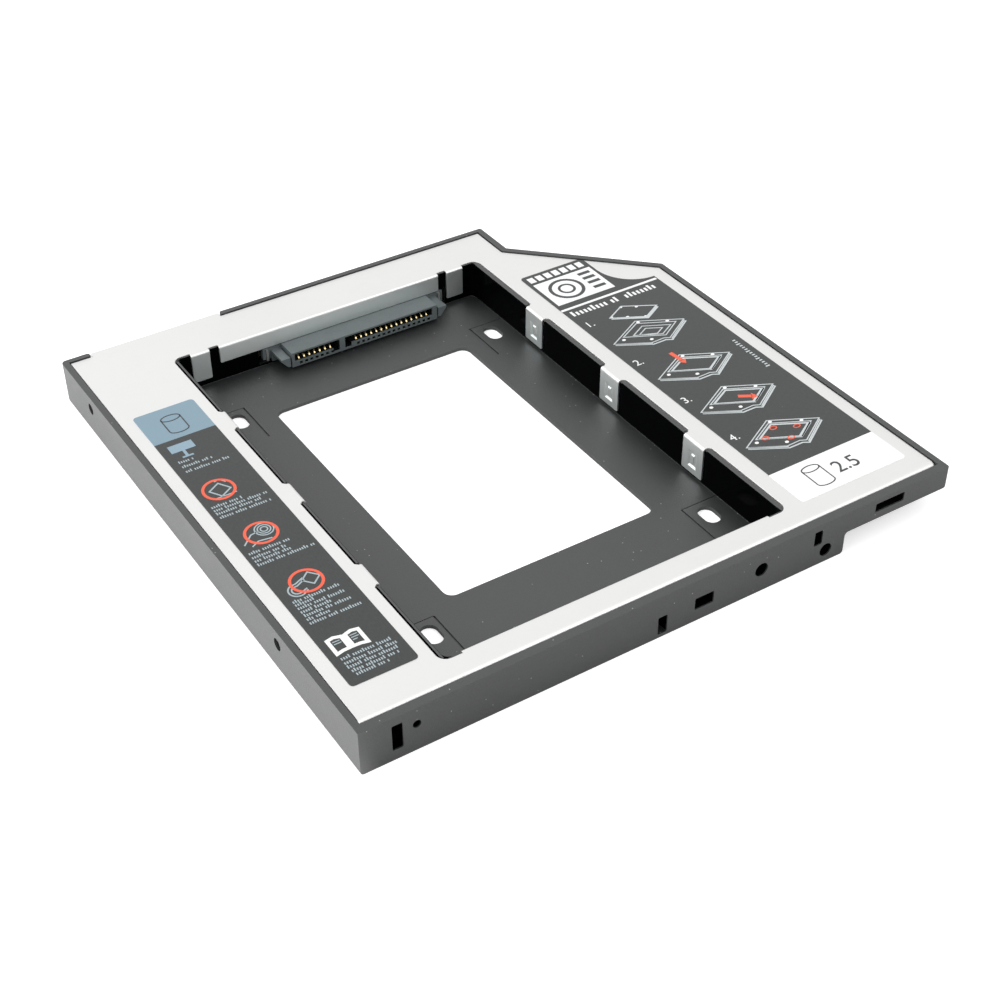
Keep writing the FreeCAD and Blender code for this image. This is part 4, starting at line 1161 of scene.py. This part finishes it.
@dataclass(frozen=True)
class RightLabel(PrintedLabel):
    """The wide label: a white front band, four numbered drawings and a block of badges at the rear.

    Attributes:
        drawing_places: where each numbered drawing of the caddy begins, along the label.
        drawing_outline: the caddy's top in such a drawing, from its left corner, as are the next ones.
        drawing_side: its front wall's lower edge.
        drawing_seam: the line of its front wall's left part.
        drawing_end: the line of its wing.
        drawing_bay: the bay's edge.
        drawing_floor: the bay's floor.
        drawing_window: the floor's window.
        drawing_drive: the drive in the bay.
        drawing_drive_side: the drive's near side.
    """

    node: str = "right_label"
    band: Span = (-1.0, 9.75)
    band_colour: Colour = (0.93, 0.93, 0.92)
    band_cylinder: DrawnCylinder = DrawnCylinder((7.8, 7.1), 4.6, (2.05, 0.9))
    band_number: tuple[str, Point, float] = ("2.5", (11.6, 3.1), 3.4)
    rule: Limits = (0.0, 25.4, 78.6, 79.3)
    heading: tuple[tuple[float, float, int], ...] = ((1.2, 13.6, 5), (15.2, 24.2, 1))
    heading_middle: float = 76.6
    heading_height: float = 1.9
    badge: Limits = (0.8, 15.8, 81.1, 91.2)
    platter: Point = (6.4, 86.2)
    platter_rings: tuple[Span, ...] = ((4.1, 0.8), (2.0, 0.6))
    badge_bar: float = 1.0
    badge_bars: Rows = ((11.7, 14.8, 89.6), (11.7, 14.8, 87.6), (11.7, 14.8, 85.6), (11.7, 14.8, 83.4))
    tooth: Limits = (1.0, 2.5, 92.1, 94.2)
    tooth_pitch: float = 2.12
    teeth: int = 7
    numbers: tuple[tuple[str, float], ...] = (("1.", 70.5), ("2.", 53.1), ("3.", 37.0), ("4.", 21.9))
    number_left: float = 1.1
    number_height: float = 2.0
    drawing_left: float = 1.95
    drawing_places: tuple[float, ...] = (62.3, 46.8, 32.9, 18.8)
    drawing_outline: Path = ((0.0, 0.0), (9.0, 4.9), (18.3, 0.0), (11.4, -4.3), (10.2, -3.7), (7.0, -3.8))
    drawing_side: Path = ((0.0, -0.55), (7.0, -4.5), (10.2, -4.5), (11.4, -5.2), (18.3, -0.8))
    drawing_seam: Path = ((0.2, -0.35), (7.0, -4.15))
    drawing_end: Path = ((11.5, -4.75), (18.2, -0.4))
    drawing_bay: Path = ((3.2, 1.1), (8.7, 4.0), (16.3, 0.1), (11.3, -3.0))
    drawing_floor: Path = ((5.4, 0.5), (9.1, 2.5), (14.6, -0.3), (11.0, -2.3))
    drawing_window: Path = ((6.6, 0.0), (9.2, 1.4), (12.4, -0.3), (10.2, -1.5))
    drawing_drive: Path = ((4.0, 0.9), (8.8, 3.4), (15.4, -0.1), (11.1, -2.6))
    drawing_drive_side: Path = ((11.4, -2.9), (15.9, -0.2))
    side_line: float = 0.34
    seam_line: float = 0.5
    drive_line: float = 0.4
    dots: Path = ((2.7, 0.2), (7.8, -2.7), (9.3, 4.2), (14.9, 1.3))
    dot_half: Point = (0.42, 0.36)
    drive_outline: Path = ((7.2, 71.1), (12.0, 73.7), (18.7, 69.9), (14.2, 67.4))
    drive_outline_line: float = 0.3
    drive_side: Path = ((7.3, 70.7), (14.2, 66.9), (18.6, 69.4))
    drive_side_line: float = 0.55
    drive_dots: Path = ((11.7, 73.4), (14.7, 71.8), (10.7, 69.5), (14.1, 67.6), (7.7, 71.2))
    drive_dot_half: Point = (0.36, 0.3)
    edge_ticks: int = 15
    edge_right: float = 24.2
    edge_front: float = 38.4
    edge_pitch: float = 0.8
    edge_tick: float = 0.35
    arrows: tuple[Path, ...] = (((9.8, 53.3), (10.3, 48.5)), ((11.6, 33.3), (15.1, 31.2)))
    arrow_head: float = 1.35
    arrow_shaft: float = 0.95
    arrow_half: float = 1.05
    arrow_overlap: float = 0.1
    screw_marks: Path = ((10.5, 21.1), (14.8, 19.1), (7.0, 19.3), (11.4, 16.8))
    screw_mark_half: Point = (0.85, 0.6)

    def draw(self, tone: InkTone, ink: InkDrawing) -> None:
        """Draws what this label has in one tone."""
        {InkTone.WHITE: self._white, InkTone.CHALK: self._chalk,
         InkTone.RED: self._red, InkTone.DARK: self._dark}[tone](ink)

    def _placed(self, points: Path, along: float) -> list[Point]:
        """A drawing's points, moved to their place on the label."""
        return [(self.drawing_left + across, along + up) for across, up in points]

    def _white(self, ink: InkDrawing) -> None:
        """Draws the rule, the badge block, the heading's ticks, the numbers and the drawings' dots.

        Args:
            ink: the drawing that they go on.
        """
        ink.panel(*self.rule)
        ink.panel(*self.badge)
        left, right, front, rear = self.tooth
        for number in range(self.teeth):
            ink.panel(left + number * self.tooth_pitch, right + number * self.tooth_pitch, front, rear)
        for left, right, first in self.heading:
            ink.ticks(left, right, self.heading_middle, self.heading_height, first)
        for text, along in self.numbers:
            ink.figure(text, (self.number_left, along), self.number_height)
        for along in self.drawing_places:
            for dot in self._placed(self.dots, along):
                ink.shape(Form.ROUND, dot, self.dot_half)
        for dot in self.drive_dots:
            ink.shape(Form.ROUND, dot, self.drive_dot_half)

    def _chalk(self, ink: InkDrawing) -> None:
        """Draws the drive on its own, the caddies without and with the drive, and the ticks at the edge.

        Args:
            ink: the drawing that they go on.
        """
        for number, along in enumerate(self.drawing_places):
            ink.outline(self._placed(self.drawing_outline, along), self.line)
            ink.stroke(self._placed(self.drawing_side, along), self.side_line)
            ink.stroke(self._placed(self.drawing_seam, along), self.seam_line)
            ink.stroke(self._placed(self.drawing_end, along), self.line)
            ink.outline(self._placed(self.drawing_bay, along), self.line)
            if number:
                ink.outline(self._placed(self.drawing_drive, along), self.drive_line)
                ink.stroke(self._placed(self.drawing_drive_side, along), self.drive_line)
            else:
                ink.outline(self._placed(self.drawing_floor, along), self.line)
                ink.outline(self._placed(self.drawing_window, along), self.line)
        ink.outline(self.drive_outline, self.drive_outline_line)
        ink.stroke(self.drive_side, self.drive_side_line)
        for number in range(self.edge_ticks):
            rise = 1.0 if number % 4 == 0 else ink.SHORT_TICK
            front = self.edge_front + number * self.edge_pitch
            ink.panel(self.edge_right - rise, self.edge_right, front, front + self.edge_tick)

    def _arrow(self, ink: InkDrawing, tail: Point, tip: Point) -> None:
        """Draws a filled arrow.

        Args:
            ink: the drawing that it goes on.
            tail: its tail.
            tip: its tip.
        """
        run = (Vector(tip) - Vector(tail)).normalized()
        neck = Vector(tip) - run * self.arrow_head
        ink.stroke([tail, tuple(neck + run * self.arrow_overlap)], self.arrow_shaft)
        ink.wedge(tuple(neck), tip, self.arrow_half)

    def _red(self, ink: InkDrawing) -> None:
        """Draws the arrows that show where the drive goes, and the four screw marks.

        Args:
            ink: the drawing that they go on.
        """
        for tail, tip in self.arrows:
            self._arrow(ink, tail, tip)
        for mark in self.screw_marks:
            ink.shape(Form.ROUND, mark, self.screw_mark_half, self.line)

    def _dark(self, ink: InkDrawing) -> None:
        """Draws the cylinder and the plain number on the front band, and the platter on the badge block.

        Args:
            ink: the drawing that they go on.
        """
        self.band_cylinder.draw(ink, self.line)
        ink.figure(*self.band_number)
        for radius, line in self.platter_rings:
            ink.shape(Form.ROUND, self.platter, (radius, radius), line)
        ink.bars(self.badge_bar, self.badge_bars)


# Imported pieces

@dataclass(frozen=True)
class Bay:
    """Where the bay lies in the frame: its walls, its floor, and the ledge just under the cover."""

    left: float
    right: float
    front: float
    rear: float
    floor: float = 0.8
    ledge: float = 8.7
    seam: float = 0.05

    @classmethod
    def in_frame(cls, left_bar: float = 20.7, front_bar: float = 7.5, width: float = 72.2,
                 depth: float = 106.8) -> "Bay":
        """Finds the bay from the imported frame.

        Args:
            left_bar: the width of the frame on the bay's left.
            front_bar: the depth of the frame in front of it.
            width: the bay's width.
            depth: the bay's depth.

        Returns:
            The bay.
        """
        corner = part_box("frame")[0] / MM
        left, front = corner.x + left_bar, corner.y + front_bar
        return cls(left, left + width, front, front + depth)

    def block(self, bottom: float, top: float) -> Block:
        """The bay between two heights, a seam wider all round."""
        return Block((self.left - self.seam, self.front - self.seam, bottom),
                     (self.right + self.seam, self.rear + self.seam, top))


@dataclass
class CaddyFrame:
    """The moulded frame, with polished walls round the bay, the hollow behind its front wall and the gap
    beside its left lip all painted into shade.

    Attributes:
        bay: the bay in it.
        wall_top: how high its polished skin, painted into shade, reaches.
        skin: the depth of its outer faces, which keep the moulded texture.
        front_hollow_depth: how far behind the front face the hollow, painted into shade, ends.
        shaded_lip_gap: how far left of the bay the gap, painted into shade, begins and ends.
    """

    bay: Bay
    wall_top: float = 9.15
    skin: float = 0.3
    front_hollow_depth: float = 7.3
    shaded_lip_gap: Span = (2.0, 0.45)

    def build(self) -> None:
        """Dresses the frame."""
        bay = self.bay
        # The three blocks where the plastic is painted into shade.
        walls = bay.block(bay.floor + bay.seam, self.wall_top)
        low, high = (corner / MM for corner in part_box("frame"))
        hollow = Block((low.x + self.skin, low.y + self.skin, bay.floor + bay.seam),
                       (high.x - self.skin, low.y + self.front_hollow_depth, bay.ledge))
        gap = Block((bay.left - self.shaded_lip_gap[0], bay.front, bay.ledge),
                    (bay.left - self.shaded_lip_gap[1], bay.rear, self.wall_top))
        count = dress("frame", MouldedPlastic("moulded_plastic", walls, hollow, gap).make())
        log.info("frame: %d node", count)


@dataclass
class FoldedCover:
    """The folded sheet that covers the left channel, the rear and the right channel."""

    bay: Bay

    def build(self) -> None:
        """Dresses the cover."""
        # The bay's block marks where the sheet gets painted shade and reflection.
        finish = SatinSheet("satin_sheet", self.bay.block(0.0, self.bay.ledge))
        log.info("cover: %d node", dress("cover", finish.make()))


@dataclass
class CircuitBoard:
    """The board behind the bay, its screws and its small chips."""

    cap_share: float = 0.24
    capacitor_colour: Colour = (0.42, 0.30, 0.18)
    resistor_colour: Colour = (0.02, 0.02, 0.022)
    screw_colour: Colour = (0.62, 0.62, 0.60)
    screw_stain: Colour = (0.45, 0.44, 0.42)

    def _chips(self, prefix: str, base: Colour) -> int:
        """Dresses each chip of a kind.

        Args:
            prefix: the start of the chips' names.
            base: the colour of their bodies.

        Returns:
            How many there are.
        """
        names = [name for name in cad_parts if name.startswith(prefix)]
        for name in names:
            low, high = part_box(name)
            cap = (high.x - low.x) * self.cap_share
            dress(name, ChipCeramic(name, ((low.x + cap) / MM, (high.x - cap) / MM), base).make())
        return len(names)

    def build(self) -> None:
        """Dresses the board and what is on it."""
        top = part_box("circuit_board")[1].z / MM
        dress("circuit_board", SolderMask("solder_mask", top).make())
        dress("board_screws", PlatedMetal("plated_screw", self.screw_colour, self.screw_stain).make())
        capacitors = self._chips("board_capacitor", self.capacitor_colour)
        resistors = self._chips("board_resistor", self.resistor_colour)
        log.info("board: laminate, screws, %d capacitors and %d resistors", capacitors, resistors)


@dataclass
class Connectors:
    """The receptacle in the bay and the plug at the rear, with their contacts and clips."""

    face_skin: float = 0.3
    receptacle_half: float = 17.9
    clip_colour: Colour = (0.70, 0.70, 0.69)
    clip_stain: Colour = (0.52, 0.52, 0.50)
    clip_roughness: float = 0.34

    def build(self) -> None:
        """Dresses both connectors."""
        low, high = (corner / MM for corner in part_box("drive_receptacle"))
        middle = (low.x + high.x) / 2
        # The receptacle's slot, where the plastic is painted into shade.
        painted_shade_slot = Block((middle - self.receptacle_half, low.y + self.face_skin, low.z + self.face_skin / 2),
                       (middle + self.receptacle_half, high.y - self.face_skin, high.z - self.face_skin / 2))
        plastic = ConnectorPlastic("connector_plastic", painted_shade_slot).make()
        gold = PlatedMetal("contact_gold").make()
        steel = PlatedMetal("tinned_steel", self.clip_colour, self.clip_stain, self.clip_roughness).make()
        bodies = dress("drive_receptacle", plastic) + dress("rear_plug", plastic)
        clips = dress("receptacle_clip", steel)
        contacts = sum(dress(prefix, gold) for prefix in (
            "receptacle_signal", "receptacle_power", "plug_signal", "plug_power"))
        log.info("connectors: %d bodies, %d clips, %d contacts", bodies, clips, contacts)


# Studio

@dataclass(frozen=True)
class Lamp:
    """A square soft lamp that points at the object."""

    name: str
    place: Place
    size: float
    power: float

    def build(self) -> None:
        """Adds the lamp."""
        lamp = bpy.data.objects.new(self.name, bpy.data.lights.new(self.name, "AREA"))
        bpy.context.scene.collection.objects.link(lamp)
        lamp.data.size, lamp.data.energy = self.size * MM, self.power
        lamp.location = Vector(self.place) * MM
        lamp.rotation_euler = (-lamp.location).to_track_quat("-Z", "Y").to_euler()


@dataclass
class Studio:
    """The floor, the light and the camera."""

    camera_place: Place = (-146.0237, -233.2874, 203.9702)
    camera_turn: Place = (51.79380577, 0.22082781, -32.76957411)
    lens: float = 61.242
    sensor: float = 36.0
    view_range: Span = (10.0, 20000.0)
    floor_size: float = 3000.0
    floor_drop: float = 0.05
    ambient: float = 0.8
    lamps: tuple[Lamp, ...] = (
        Lamp("lamp_rear_left", (-700.0, 600.0, 800.0), 1000.0, 5.0),
        Lamp("lamp_left", (-900.0, -50.0, 300.0), 700.0, 4.0),
        Lamp("lamp_front", (420.0, -700.0, 700.0), 500.0, 1.8))

    def _floor(self) -> None:
        """Adds the floor, just under the object."""
        bpy.ops.object.select_all(action="DESELECT")
        bpy.ops.mesh.primitive_plane_add(size=self.floor_size * MM,
                                         location=(0.0, 0.0, -self.floor_drop * MM))
        floor = bpy.context.object
        floor.name = "floor"
        bpy.ops.object.transform_apply(location=True, rotation=True, scale=True)
        floor.data.materials.append(StudioPaper("studio_paper", cad_box[0][0] / MM).make())

    def _light(self) -> None:
        """Adds the white surroundings and the soft lamps."""
        world = bpy.data.worlds.new("white_tent")
        bpy.context.scene.world = world
        recipe = Recipe(world)
        camera, glossy, through = recipe.rays()
        strength = (camera + glossy + through).held() * (1 - self.ambient) + self.ambient
        light = recipe.node("ShaderNodeBackground", {}, {"Color": (1.0, 1.0, 1.0, 1.0), "Strength": strength})
        recipe.end(light, "ShaderNodeOutputWorld")
        for lamp in self.lamps:
            lamp.build()

    def _camera(self) -> None:
        """Adds the camera where the photograph was taken from."""
        camera = bpy.data.objects.new("camera", bpy.data.cameras.new("camera"))
        bpy.context.scene.collection.objects.link(camera)
        camera.location = Vector(self.camera_place) * MM
        camera.rotation_euler = [math.radians(angle) for angle in self.camera_turn]
        camera.data.lens, camera.data.sensor_width = self.lens, self.sensor
        camera.data.clip_start, camera.data.clip_end = (reach * MM for reach in self.view_range)
        bpy.context.scene.camera = camera

    def build(self) -> None:
        """Sets up the studio."""
        self._floor()
        self._light()
        self._camera()
        bpy.context.scene.view_settings.view_transform = "Standard"
        log.info("studio: floor, %d lamps, camera", len(self.lamps))


def main() -> None:
    """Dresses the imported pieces, draws the labels and sets up the studio."""
    logging.basicConfig(level=logging.INFO, format="%(name)s: %(message)s")
    bay = Bay.in_frame()
    CaddyFrame(bay).build()
    FoldedCover(bay).build()
    CircuitBoard().build()
    Connectors().build()
    LeftLabel().build([InkTone.WHITE, InkTone.PALE, InkTone.SKY, InkTone.RED, InkTone.DARK])
    RightLabel().build([InkTone.WHITE, InkTone.CHALK, InkTone.RED, InkTone.DARK])
    Studio().build()


if __name__ == "__main__":
    main()
